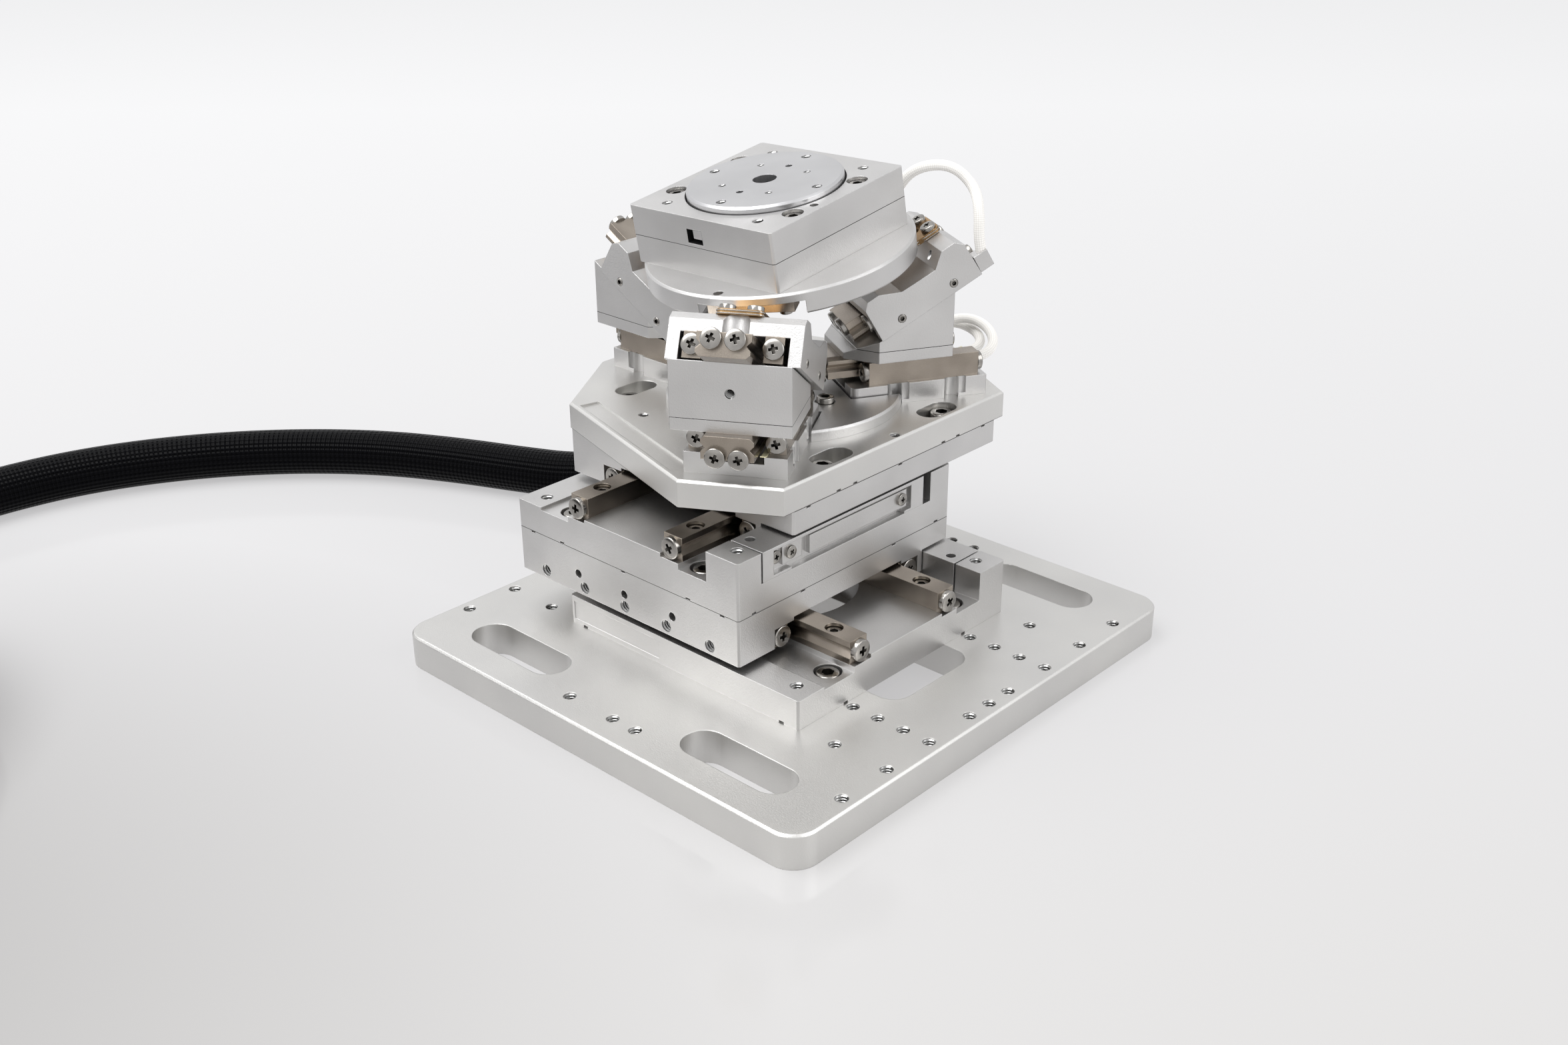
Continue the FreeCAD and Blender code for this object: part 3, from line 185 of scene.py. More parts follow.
def metalMaterial(name, facts):
    # metal with a fine surface bump, slight colour drift and softened edges
    material = newMaterial(name)
    place = addNode(material, "ShaderNodeTexCoord")
    stretch = addNode(material, "ShaderNodeMapping", inputs={
        "Scale": facts.get("stretch", (1, 1, 1))}, links={"Vector": (place, "Object")})
    grain = addNode(material, "ShaderNodeTexNoise", inputs={
        "Scale": 1 / (facts["grain"] * mm), "Detail": 3.0, "Roughness": 0.6},
        links={"Vector": (stretch, "Vector")})
    drift = addNode(material, "ShaderNodeTexNoise", inputs={
        "Scale": 1 / (facts["drift"] * mm), "Detail": 2.0}, links={"Vector": (place, "Object")})
    colour = addNode(material, "ShaderNodeValToRGB", links={"Fac": (drift, "Fac")})
    setRamp(colour, [(noiseLow, facts["dark"]), (noiseHigh, facts["light"])])
    tint = (colour, "Color")
    if "seams" in facts:
        mask = seamMask(material, place, facts["seams"])
        shade = addNode(material, "ShaderNodeMix", {"data_type": "RGBA"},
                        {7: hexColour(seam["colour"])}, {0: (mask, "Value"), 6: tint})
        tint = (shade, 2)
    rough = addNode(material, "ShaderNodeMapRange", inputs={
        "From Min": noiseLow, "From Max": noiseHigh, "To Min": facts["rough"] - roughSpread,
        "To Max": facts["rough"] + roughSpread}, links={"Value": (grain, "Fac")})
    edge = addNode(material, "ShaderNodeBevel", {"samples": edgeSamples},
                   {"Radius": facts["edge"] * mm})
    bump = addNode(material, "ShaderNodeBump", inputs={
        "Strength": facts["bump"], "Distance": bumpDepth["metal"] * mm},
        links={"Height": (grain, "Fac"), "Normal": (edge, "Normal")})
    shader = addNode(material, "ShaderNodeBsdfPrincipled", inputs={"Metallic": 1.0},
                     links={"Base Color": tint, "Roughness": (rough, "Result"),
                            "Normal": (bump, "Normal")})
    addNode(material, "ShaderNodeOutputMaterial", links={"Surface": (shader, "BSDF")})
    return material


# grain, drift and edge are in millimetres
finishes = {
    # bead-blasted, clear anodised aluminium: even satin with a fine sparkle, its grain
    # drawn about twice as coarse as the real one so that it shows
    "blastedAluminium": {"dark": "#C6C5C4", "light": "#D2D1D0", "rough": 0.38,
                         "grain": 0.24, "drift": 14.0, "bump": 1.6, "edge": 0.18},
    # milled and anodised plate, a little smoother, with a faint warm cast
    "milledAluminium": {"dark": "#D0CFCD", "light": "#DAD9D6", "rough": 0.36,
                        "grain": 0.24, "drift": 20.0, "bump": 1.2, "edge": 0.25},
    # turned aluminium of the rotor
    "turnedAluminium": {"dark": "#C4C4C5", "light": "#CECECF", "rough": 0.33,
                        "grain": 0.18, "drift": 10.0, "bump": 0.35, "edge": 0.15},
    # hardened, ground rail steel: brownish grey with a fine grain
    "groundSteel": {"dark": "#938A80", "light": "#AAA196", "rough": 0.24,
                    "grain": 0.12, "drift": 6.0, "bump": 0.3, "edge": 0.14,
                    "stretch": (1, 1, 6)},
    # spring steel leaf, cold rolled and bright
    "springSteel": {"dark": "#A5A29E", "light": "#BCB8B2", "rough": 0.22,
                    "grain": 0.15, "drift": 5.0, "bump": 0.2, "edge": 0.06},
    # rolled bronze leaf, warm and softly shiny
    "rolledBronze": {"dark": "#8E7250", "light": "#BC9A70", "rough": 0.3,
                     "grain": 0.15, "drift": 3.0, "bump": 0.25, "edge": 0.05},
    # polished bearing steel, a clear mirror
    "polishedSteel": {"dark": "#C8C8C8", "light": "#DADADA", "rough": 0.1,
                      "grain": 0.3, "drift": 5.0, "bump": 0.02, "edge": 0.05},
    # nickel-plated plug shell, bright and smooth
    "platedNickel": {"dark": "#B9B4AC", "light": "#CFCAC2", "rough": 0.2,
                     "grain": 0.2, "drift": 6.0, "bump": 0.1, "edge": 0.2},
    # cut thread in aluminium: coloured darker than the plate, painted shade for the depth of the
    # hole, with crests that catch the light
    "cutThread": {"dark": "#8E8E8D", "light": "#AAAAA9", "rough": 0.26,
                  "grain": 0.1, "drift": 2.0, "bump": 0.1, "edge": 0.03},
}
# the same aluminium with the hairline joints that cross it: (normal, distance)
floorUp = (0, 0, 1)
platformUp = platformPlace().to_3x3() @ Vector(floorUp)
rotorJoint = (platformPlace() @ Vector((0, 0, -5.1 * mm))).dot(platformUp) / mm
jointed = {
    "stageAluminium": ("blastedAluminium", [(floorUp, 20.0), (floorUp, 34.2)]),
    "podAluminium": ("milledAluminium", [(floorUp, 34.2)]),
    "wedgeAluminium": ("blastedAluminium", [(floorUp, 48.8)]),
    "rotationAluminium": ("blastedAluminium", [(tuple(platformUp), rotorJoint)]),
}
for name, (base, seams) in jointed.items():
    finishes[name] = dict(finishes[base], seams=seams)
made = {name: metalMaterial(name, facts) for name, facts in finishes.items()}


def turnedMaterial(name, facts):
    # turned head: fine rings about the piece's own axis, which its UV map gives in millimetres
    material = newMaterial(name)
    place = addNode(material, "ShaderNodeTexCoord")
    reach = addNode(material, "ShaderNodeVectorMath", {"operation": "LENGTH"},
                    links={0: (place, "UV")})
    rings = addNode(material, "ShaderNodeTexNoise", {"noise_dimensions": "1D"}, {
        "Scale": 1 / facts["ring"], "Detail": 2.0}, {"W": (reach, "Value")})
    drift = addNode(material, "ShaderNodeTexNoise", inputs={
        "Scale": 1 / (facts["drift"] * mm)}, links={"Vector": (place, "Object")})
    colour = addNode(material, "ShaderNodeValToRGB", links={"Fac": (drift, "Fac")})
    setRamp(colour, [(noiseLow, facts["dark"]), (noiseHigh, facts["light"])])
    edge = addNode(material, "ShaderNodeBevel", {"samples": edgeSamples},
                   {"Radius": facts["edge"] * mm})
    bump = addNode(material, "ShaderNodeBump", inputs={
        "Strength": facts["bump"], "Distance": bumpDepth["turned"] * mm},
        links={"Height": (rings, "Fac"), "Normal": (edge, "Normal")})
    shader = addNode(material, "ShaderNodeBsdfPrincipled", inputs={
        "Metallic": 1.0, "Roughness": facts["rough"]},
        links={"Base Color": (colour, "Color"), "Normal": (bump, "Normal")})
    addNode(material, "ShaderNodeOutputMaterial", links={"Surface": (shader, "BSDF")})
    return material


made["stainlessSteel"] = turnedMaterial("stainlessSteel", {
    # stainless screw heads: grey, with turning rings that catch the light
    "dark": "#8F8C88", "light": "#ABA8A3", "ring": 0.2, "drift": 2.0, "bump": 0.6,
    "edge": 0.07, "rough": 0.2})
made["recessShade"] = turnedMaterial("recessShade", {
    # pressed recess: painted shade, darker and duller than the head
    "dark": "#4A4845", "light": "#6B6863", "ring": 0.4, "drift": 1.0, "bump": 0.2,
    "edge": 0.04, "rough": 0.35})


def plainMaterial(name, facts):
    # a dull plastic or coating with a soft mottled bump
    material = newMaterial(name)
    place = addNode(material, "ShaderNodeTexCoord")
    mottle = addNode(material, "ShaderNodeTexNoise", inputs={
        "Scale": 1 / (facts["grain"] * mm), "Detail": 4.0}, links={"Vector": (place, "Object")})
    colour = addNode(material, "ShaderNodeValToRGB", links={"Fac": (mottle, "Fac")})
    setRamp(colour, [(noiseLow, facts["dark"]), (noiseHigh, facts["light"])])
    bump = addNode(material, "ShaderNodeBump", inputs={
        "Strength": facts["bump"], "Distance": bumpDepth["plastic"] * mm},
        links={"Height": (mottle, "Fac")})
    shader = addNode(material, "ShaderNodeBsdfPrincipled", inputs={
        "Roughness": facts["rough"]},
        links={"Base Color": (colour, "Color"), "Normal": (bump, "Normal")})
    addNode(material, "ShaderNodeOutputMaterial", links={"Surface": (shader, "BSDF")})
    return material


made["creamRibbon"] = plainMaterial("creamRibbon", {
    # polyimide ribbon with a cream cover layer, satin
    "dark": "#D9D2A8", "light": "#E8E2BE", "grain": 0.8, "bump": 0.1, "rough": 0.4})
made["heatShrink"] = plainMaterial("heatShrink", {
    # black polyolefin shrink tube, satin
    "dark": "#0E0E10", "light": "#1A1A1C", "grain": 1.2, "bump": 0.25, "rough": 0.42})
made["windowShadeBlack"] = plainMaterial("windowShadeBlack", {
    # black sheet for the sensor window's walls: painted shade, deep and matt
    "dark": "#0B0B0C", "light": "#161617", "grain": 0.5, "bump": 0.1, "rough": 0.5})


def braidMaterial(name, facts):
    # braid: two sets of strands that cross, from the tube's own UV map
    material = newMaterial(name)
    place = addNode(material, "ShaderNodeTexCoord")
    waves = []
    for lean in (1, -1):
        spread = addNode(material, "ShaderNodeMapping", inputs={
            "Scale": (facts["along"], facts["around"] * lean, 1)},
            links={"Vector": (place, "UV")})
        split = addNode(material, "ShaderNodeSeparateXYZ", links={"Vector": (spread, "Vector")})
        total = addNode(material, "ShaderNodeMath", {"operation": "ADD"},
                        links={0: (split, "X"), 1: (split, "Y")})
        angle = addNode(material, "ShaderNodeMath", {"operation": "MULTIPLY"},
                        {1: 2 * math.pi}, {0: (total, "Value")})
        waves.append(addNode(material, "ShaderNodeMath", {"operation": "SINE"},
                             links={0: (angle, "Value")}))
    crossing = addNode(material, "ShaderNodeMath", {"operation": "MULTIPLY"},
                       links={0: (waves[0], "Value"), 1: (waves[1], "Value")})
    height = addNode(material, "ShaderNodeMapRange", inputs={"From Min": -1.0},
                     links={"Value": (crossing, "Value")})
    # painted shade and painted highlight: the colour follows the bump's height, darker between the
    # strands and lighter on their crowns
    colour = addNode(material, "ShaderNodeValToRGB", links={"Fac": (height, "Result")})
    setRamp(colour, [(0.35, facts["dark"]), (0.75, facts["light"])])
    bump = addNode(material, "ShaderNodeBump", inputs={
        "Strength": facts["bump"], "Distance": facts["strand"] * mm},
        links={"Height": (height, "Result")})
    shader = addNode(material, "ShaderNodeBsdfPrincipled", inputs={
        "Roughness": facts["rough"], "Specular IOR Level": facts["shine"]},
        links={"Base Color": (colour, "Color"), "Normal": (bump, "Normal")})
    addNode(material, "ShaderNodeOutputMaterial", links={"Surface": (shader, "BSDF")})
    return material


# finish of a solid: by its whole name, otherwise by a word in it
wholeNames = {
    "base_plate": "milledAluminium", "pod_plate": "podAluminium",
    "rotation_top": "rotationAluminium", "rotation_bottom": "rotationAluminium",
    "lower_slider": "stageAluminium", "upper_base": "stageAluminium",
    "upper_slider": "stageAluminium", "rotor": "turnedAluminium", "connector": "platedNickel",
}
wordsInNames = {
    "rails": "groundSteel", "tracks": "groundSteel", "runner": "groundSteel",
    "guide": "groundSteel", "flexure": "rolledBronze", "wedge": "wedgeAluminium",
    "ball": "polishedSteel",
}


def finishOf(name):
    if name in wholeNames:
        return wholeNames[name]
    for word, finish in wordsInNames.items():
        if word in name:
            return finish
    return "blastedAluminium"


def dress(name, finish):
    slots = nodes[name].material_slots
    if not slots:
        nodes[name].data.materials.append(made[finish])
    for slot in slots:
        slot.material = made[finish]


for name in nodes:
    dress(name, finishOf(name))
print("solids dressed:", len(nodes))


# cords

def drawCord(name, route, radius, roundness):
    # one smooth spline with the route's points as control points, then a tube along it
    data = bpy.data.curves.new(name, "CURVE")
    data.dimensions = "3D"
    data.resolution_u = 6
    data.bevel_resolution = roundness
    spline = data.splines.new("NURBS")
    spline.points.add(len(route) - 1)
    for point, place in zip(spline.points, route):
        point.co = (*place, 1)
    spline.order_u = 3
    spline.use_endpoint_u = True
    tube = bpy.data.objects.new(name, data)
    bpy.context.scene.collection.objects.link(tube)
    bpy.context.view_layer.update()
    line = bpy.data.meshes.new_from_object(tube)
    path = [tuple(v.co) for v in line.vertices]
    data.bevel_depth = radius * mm
    data.use_fill_caps = True
    choose(tube)
    bpy.ops.object.convert(target="MESH")
    bpy.ops.object.shade_smooth()
    length = sum((Vector(a) - Vector(b)).length for a, b in zip(path, path[1:]))
    return tube, path, length


sleeve = {
    "radius": 4.75, "roundness": 10, "pitch": 1.9, "around": 16,
    "coilRadius": 47.5, "coilExit": 60.0, "turnStep": 20,
    "route": [
        (-40.4, 36.4, 10.9), (-50.6, 30.4, 10.8), (-61.4, 23.6, 7.8), (-72.8, 16.8, 4.9),
        (-84.9, 11.0, 4.9), (-98.1, 5.4, 4.9), (-112.7, -2.4, 4.9), (-125.8, -12.8, 4.9),
        (-136.9, -24.9, 4.9), (-145.6, -38.2, 4.9), (-151.5, -51.8, 4.9), (-154.2, -65.6, 4.9),
        (-154.6, -79.6, 4.9), (-154.7, -93.6, 4.9), (-154.6, -107.6, 4.9),
        (-154.4, -121.6, 4.9), (-154.1, -135.4, 4.9), (-153.7, -149.4, 4.9)],
    # angle along the coil and height: it rises over its own start
    "turns": [(20, 4.9), (290, 4.9), (345, 14.4), (580, 14.4)],
    # angle round the bend into the coil's middle and height, down to the plug
    "tailBend": 34.0,
    "tail": [(0, 14.4), (20, 14.5), (40, 14.3), (60, 13.2), (80, 10.2), (100, 8.25),
             (120, 7.45), (134, 7.25)],
}


def roundPoint(centre, radius, angle, height):
    return centre + Vector((radius * math.cos(angle), radius * math.sin(angle), height))


def coilHeight(turned):
    stops = sleeve["turns"]
    for low, high in zip(stops, stops[1:]):
        if low[0] <= turned <= high[0]:
            share = (turned - low[0]) / (high[0] - low[0])
            ease = share * share * (3 - 2 * share)
            return low[1] + (high[1] - low[1]) * ease


def sleeveRoute():
    before, end = Vector(sleeve["route"][-2]), Vector(sleeve["route"][-1])
    heading = (end - before).normalized()
    across = Vector((-heading.y, heading.x, 0))
    radius = sleeve["coilRadius"]
    centre = end + across * radius
    centre.z = 0
    startAngle = math.atan2(-across.y, -across.x)
    route = [Vector(point) for point in sleeve["route"]]
    first, last = sleeve["turns"][0][0], sleeve["turns"][-1][0]
    for turned in range(first, last + 1, sleeve["turnStep"]):
        angle = startAngle + math.radians(turned)
        route.append(roundPoint(centre, radius, angle, coilHeight(turned)))
    # down into the coil's middle, where the plug lies
    exitAngle = math.radians(sleeve["coilExit"])
    bend = sleeve["tailBend"]
    out = Vector((math.cos(exitAngle), math.sin(exitAngle), 0))
    middle = centre + out * (radius - bend)
    for turned, height in sleeve["tail"]:
        route.append(roundPoint(middle, bend, exitAngle + math.radians(turned), height))
    return [point * mm for point in route]


sleeveTube, sleevePath, sleeveLength = drawCord(
    "braidedSleeve", sleeveRoute(), sleeve["radius"], sleeve["roundness"])
made["blackBraid"] = braidMaterial("blackBraid", {
    # black polyester braid: near black, with a row of small glints along its top
    "dark": "#010102", "light": "#050507", "rough": 0.28, "shine": 0.04, "bump": 1.0,
    "strand": 0.22, "along": sleeveLength / (sleeve["pitch"] * mm), "around": sleeve["around"]})
sleeveTube.data.materials.append(made["blackBraid"])
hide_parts("sleeve", "sleeve_coil", "sleeve_tail")
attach(sleeveTube, "base")
print("sleeve", round(sleeveLength, 3))


whiteWire = {
    "radius": 0.9, "roundness": 6, "pitch": 0.7, "around": 7,
    # in the rotation stage's own place: where the wire starts, and its first point
    "stageExit": [(9.0, 14.9, -8.0), (9.3, 20.4, -7.5)],
    "arch": [(-1.7, 32.8, 76.8), (3.9, 35.8, 78.0), (7.8, 37.5, 74.6)],
    # on the rear leg's housing: along it, across it and above it
    "housingEnd": [(25.0, -9.0, 9.6), (22.0, -9.4, 4.6), (21.3, -9.4, 0.9)],
    # in the rear leg's place: outwards, across and up
    "loops": {
        "upperWireLoop": [(33.6, 3.4, 1.9), (38.6, 3.6, 2.1), (42.0, 6.2, 3.3), (42.6, 10.6, 5.0),
                          (40.4, 14.4, 6.0), (36.2, 15.9, 5.2), (32.0, 15.0, 3.0),
                          (28.4, 12.7, 0.2)],
        "lowerWireLoop": [(33.6, 6.9, 1.9), (37.8, 7.3, 1.9), (41.0, 9.6, 2.5), (41.6, 14.0, 3.4),
                          (39.2, 18.1, 4.1), (34.6, 19.2, 3.7), (29.8, 17.7, 2.2),
                          (25.8, 14.8, 0.2)]},
}


def finishWire(name, route, node, body):
    tube, path, length = drawCord(name, route, whiteWire["radius"], whiteWire["roundness"])
    if "whiteJacket" not in made:
        made["whiteJacket"] = braidMaterial("whiteJacket", {
            # white glass-fibre braid over a thin cable, drawn coarse so that it shows
            "dark": "#CBC9C5", "light": "#DDDBD8", "rough": 0.8, "shine": 0.2, "bump": 0.35,
            "strand": 0.04, "along": length / (whiteWire["pitch"] * mm),
            "around": whiteWire["around"]})
    tube.data.materials.append(made["whiteJacket"])
    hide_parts(node)
    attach(tube, body)
    print(name, round(length, 4))


stageRoute = pointsAt(platformPlace(), whiteWire["stageExit"])
stageRoute += pointsAt(Matrix(), whiteWire["arch"])
stageRoute += pointsAt(inclinePlace("b"), whiteWire["housingEnd"])
finishWire("stageWire", stageRoute, "stage_wire", "head_b")
for name, route in whiteWire["loops"].items():
    finishWire(name, pointsAt(legPlace("b"), route), "pod_wires", "y_carriage")


# mesh helpers

def settle(piece):
    # put the piece's place, turn and size into its mesh
    choose(piece)
    bpy.ops.object.transform_apply(location=True, rotation=True, scale=True)


def boxBetween(x, y, z):
    # block between two planes along each axis, in millimetres
    deselect()
    bpy.ops.mesh.primitive_cube_add(size=1, location=(
        sum(x) / 2 * mm, sum(y) / 2 * mm, sum(z) / 2 * mm))
    block = bpy.context.object
    block.scale = ((x[1] - x[0]) * mm, (y[1] - y[0]) * mm, (z[1] - z[0]) * mm)
    settle(block)
    return block


def roundBar(sides, radius, bottom, top, x=0, y=0):
    # bar along z between two heights, in millimetres
    deselect()
    bpy.ops.mesh.primitive_cylinder_add(
        vertices=sides, radius=radius * mm, depth=(top - bottom) * mm,
        location=(x * mm, y * mm, (bottom + top) / 2 * mm))
    bar = bpy.context.object
    settle(bar)
    return bar


def pick(piece, kind, wanted):
    # edit mode with the faces or edges chosen by their place, in millimetres
    choose(piece)
    bpy.ops.object.mode_set(mode="EDIT")
    bpy.ops.mesh.select_mode(type=kind)
    bpy.ops.mesh.select_all(action="DESELECT")
    bpy.ops.object.mode_set(mode="OBJECT")
    mesh = piece.data
    if kind == "FACE":
        for face in mesh.polygons:
            face.select = wanted(face.center / mm, face.normal)
    else:
        for edge in mesh.edges:
            edge.select = all(wanted(mesh.vertices[v].co / mm) for v in edge.vertices)
    bpy.ops.object.mode_set(mode="EDIT")


def endEdit():
    bpy.ops.object.mode_set(mode="OBJECT")


def applyModifier(piece, kind, settings):
    choose(piece)
    change = piece.modifiers.new("change", kind)
    for name, value in settings.items():
        setattr(change, name, value)
    bpy.ops.object.modifier_apply(modifier="change")


def cutWith(piece, cutter):
    applyModifier(piece, "BOOLEAN", {"operation": "DIFFERENCE", "object": cutter,
                                     "solver": "EXACT"})
    bpy.data.objects.remove(cutter)


def smooth(piece, angle=35):
    choose(piece)
    bpy.ops.object.shade_smooth_by_angle(angle=math.radians(angle))


def ownMap(piece):
    # UV map that holds the piece's own x and y in millimetres
    layer = piece.data.uv_layers.new(name="own")
    for loop in piece.data.loops:
        spot = piece.data.vertices[loop.vertex_index].co / mm
        layer.data[loop.index].uv = (spot.x, spot.y)


def placeCopies(pattern, name, places, body):
    # one copy for each place, each with its own mesh, joined as one named piece
    copies = []
    for place in places:
        twin = pattern.copy()
        twin.data = pattern.data.copy()
        twin.data.transform(place)
        bpy.context.scene.collection.objects.link(twin)
        copies.append(twin)
    deselect()
    for twin in copies:
        twin.select_set(True)
    bpy.context.view_layer.objects.active = copies[0]
    if len(copies) > 1:
        bpy.ops.object.join()
    piece = bpy.context.view_layer.objects.active
    piece.name = name
    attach(piece, body)


def layPiece(piece, place, name, body):
    piece.data.transform(place)
    piece.name = name
    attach(piece, body)


# screws and threads, each drawn along z with its seat or mouth on z = 0

def turnedHead(name, radius, height, rim):
    # a round head with a rounded top rim
    head = roundBar(40, radius, 0, height)
    head.name = name
    pick(head, "EDGE", lambda spot: spot.z > height - near)
    bpy.ops.mesh.bevel(offset=rim * mm, segments=3, affect="EDGES")
    endEdit()
    return head


def paintScrew(head, reach, top):
    # polished head, and painted shade on the recess faces within reach of the axis and below the
    # top
    head.data.materials.append(made["stainlessSteel"])
    head.data.materials.append(made["recessShade"])
    for face in head.data.polygons:
        spot = face.center / mm
        if math.hypot(spot.x, spot.y) < reach and near < spot.z < top:
            face.material_index = 1


# shares of the head's radius or height; dark and the drop give where the painted shade of the
# recess starts
crossScrew = {"rim": 0.22, "crownInset": 0.3, "crown": 0.08, "long": 0.6, "wide": 0.17,
              "deep": 0.7, "taper": (0.45, 0.7), "dark": 0.66, "shadeDrop": 0.02}


def makeCrossScrew(name, radius, height):
    # pan head with a slightly crowned top and a pressed cross recess
    head = turnedHead(name, radius, height, height * crossScrew["rim"])
    pick(head, "FACE", lambda middle, normal: normal.z > 0.99 and middle.z > height - near)
    bpy.ops.mesh.inset(thickness=radius * crossScrew["crownInset"] * mm)
    bpy.ops.transform.translate(value=(0, 0, height * crossScrew["crown"] * mm))
    endEdit()
    long, wide = radius * crossScrew["long"], radius * crossScrew["wide"]
    deep = height * crossScrew["deep"]
    for quarter in (0, 90):
        key = boxBetween((-long, long), (-wide, wide), (height - deep, height + deep))
        pick(key, "FACE", lambda middle, normal: normal.z < -0.9)
        bpy.ops.transform.resize(value=(*crossScrew["taper"], 1), center_override=(0, 0, 0))
        endEdit()
        key.rotation_euler.z = math.radians(quarter)
        settle(key)
        cutWith(head, key)
    paintScrew(head, radius * crossScrew["dark"], height - crossScrew["shadeDrop"])
    smooth(head)
    ownMap(head)
    return head


socketScrew = {"rim": 0.14, "hex": 0.56, "deep": 0.6, "coneInset": 0.3, "cone": 0.1,
               "dark": 0.6, "shadeDrop": 0.03}


def makeSocketScrew(name, radius, height):
    # socket head with a hexagon recess that ends in a shallow cone
    head = turnedHead(name, radius, height, height * socketScrew["rim"])
    deep = height * socketScrew["deep"]
    key = roundBar(6, radius * socketScrew["hex"], height - deep, height + deep)
    pick(key, "FACE", lambda middle, normal: normal.z < -0.9)
    bpy.ops.mesh.inset(thickness=radius * socketScrew["coneInset"] * mm)
    bpy.ops.transform.translate(value=(0, 0, -height * socketScrew["cone"] * mm))
    endEdit()
    cutWith(head, key)
    paintScrew(head, radius * socketScrew["dark"], height - socketScrew["shadeDrop"])
    smooth(head)
    ownMap(head)
    return head


# tooth and sink in millimetres, the rest as shares of the pitch
thread = {"tooth": 0.22, "sink": 0.07, "width": 0.96, "drop": 0.6, "crest": 0.2, "steps": 16}


def makeThread(name, radius, pitch, turns):
    # a cut thread that winds down from z = 0 inside a hole of that radius
    inside, drop = radius - thread["sink"], -pitch * thread["drop"]
    deselect()
    bpy.ops.mesh.primitive_plane_add(size=1, rotation=(math.radians(90), 0, 0))
    tooth = bpy.context.object
    tooth.name = name
    tooth.scale = (thread["tooth"] * mm, pitch * thread["width"] * mm, 1)
    tooth.location = (inside * mm, 0, drop * mm)
    settle(tooth)
    pick(tooth, "EDGE", lambda spot: spot.x < inside)
    bpy.ops.transform.resize(value=(1, 1, thread["crest"]), center_override=(0, 0, drop * mm))
    endEdit()
    applyModifier(tooth, "SCREW", {"axis": "Z", "angle": 2 * math.pi, "screw_offset": -pitch * mm,
                                   "iterations": turns, "steps": thread["steps"],
                                   "render_steps": thread["steps"], "use_smooth_shade": True})
    pick(tooth, "EDGE", lambda spot: True)
    bpy.ops.mesh.fill_holes(sides=4)
    bpy.ops.mesh.select_all(action="SELECT")
    bpy.ops.mesh.normals_make_consistent(inside=False)
    endEdit()
    tooth.data.materials.append(made["cutThread"])
    smooth(tooth, 50)
    return tooth


# radius and height of each head; radius, pitch and turns of each thread
crossHeads = {"railScrew": (1.85, 0.95), "trackScrew": (1.65, 0.85), "leafScrew": (1.3, 0.8),
              "plateScrew": (1.1, 0.5)}
socketHeads = {"sunkScrew": (1.3, 0.7), "baseScrew": (1.95, 2.5), "hubScrew": (1.5, 1.5),
               "setScrew": (0.72, 1.0), "setHead": (1.05, 0.8)}
threadSizes = {"coarseThread": (1.05, 0.45, 9), "middleThread": (0.87, 0.4, 7),
               "wedgeThread": (0.8, 0.4, 11), "fineThread": (0.6, 0.3, 6)}
patterns = {name: makeCrossScrew(name, *size) for name, size in crossHeads.items()}
patterns.update({name: makeSocketScrew(name, *size) for name, size in socketHeads.items()})
patterns.update({name: makeThread(name, *size) for name, size in threadSizes.items()})
print("screws and threads modelled:", len(patterns))

spinStep, spinStart = 37, 11  # degrees from one screw to the next, and of the first


def spin(k):
    # each screw stops at its own angle
    return turn((k * spinStep + spinStart) % 90)


def endScrews(place, ends, across, height, first=0):
    # screws on both ends of rails or tracks that lie along x
    places = []
    for k, (end, side) in enumerate((e, s) for e in (0, 1) for s in across):
        face = facing("+x" if end else "-x")
        places.append(place @ move(ends[end], side, height) @ face @ spin(k + first))
    return places


def upright(place, spots, axis="+z"):
    return [place @ move(*spot) @ facing(axis) @ spin(k) for k, spot in enumerate(spots)]


# crossed-roller stages: screws and threads

stageFittings = {
    "railEnds": (-25.0, 25.0), "fixedAcross": (-11.0, 11.0), "movingAcross": (-15.9, 15.9),
    "railHeight": 7.6, "sunkFloor": 8.3, "sunkAlong": (-20, -10, 0, 10, 20),
    "base": (22.6, 15.4), "baseFloor": 2.0, "bolt": 22.5, "boltTops": (5.1, 9.8),
    "sliderHoles": 9.8, "sliderHoleHeight": 7.65, "face": 26.0,
    "coverFloor": 24.7, "coverHeight": 7.32,
    # along the cover, and how far the head stands out
    "coverScrews": ((16.5, 0.0), (13.5, 0.5), (-13.3, 0.9)),
}


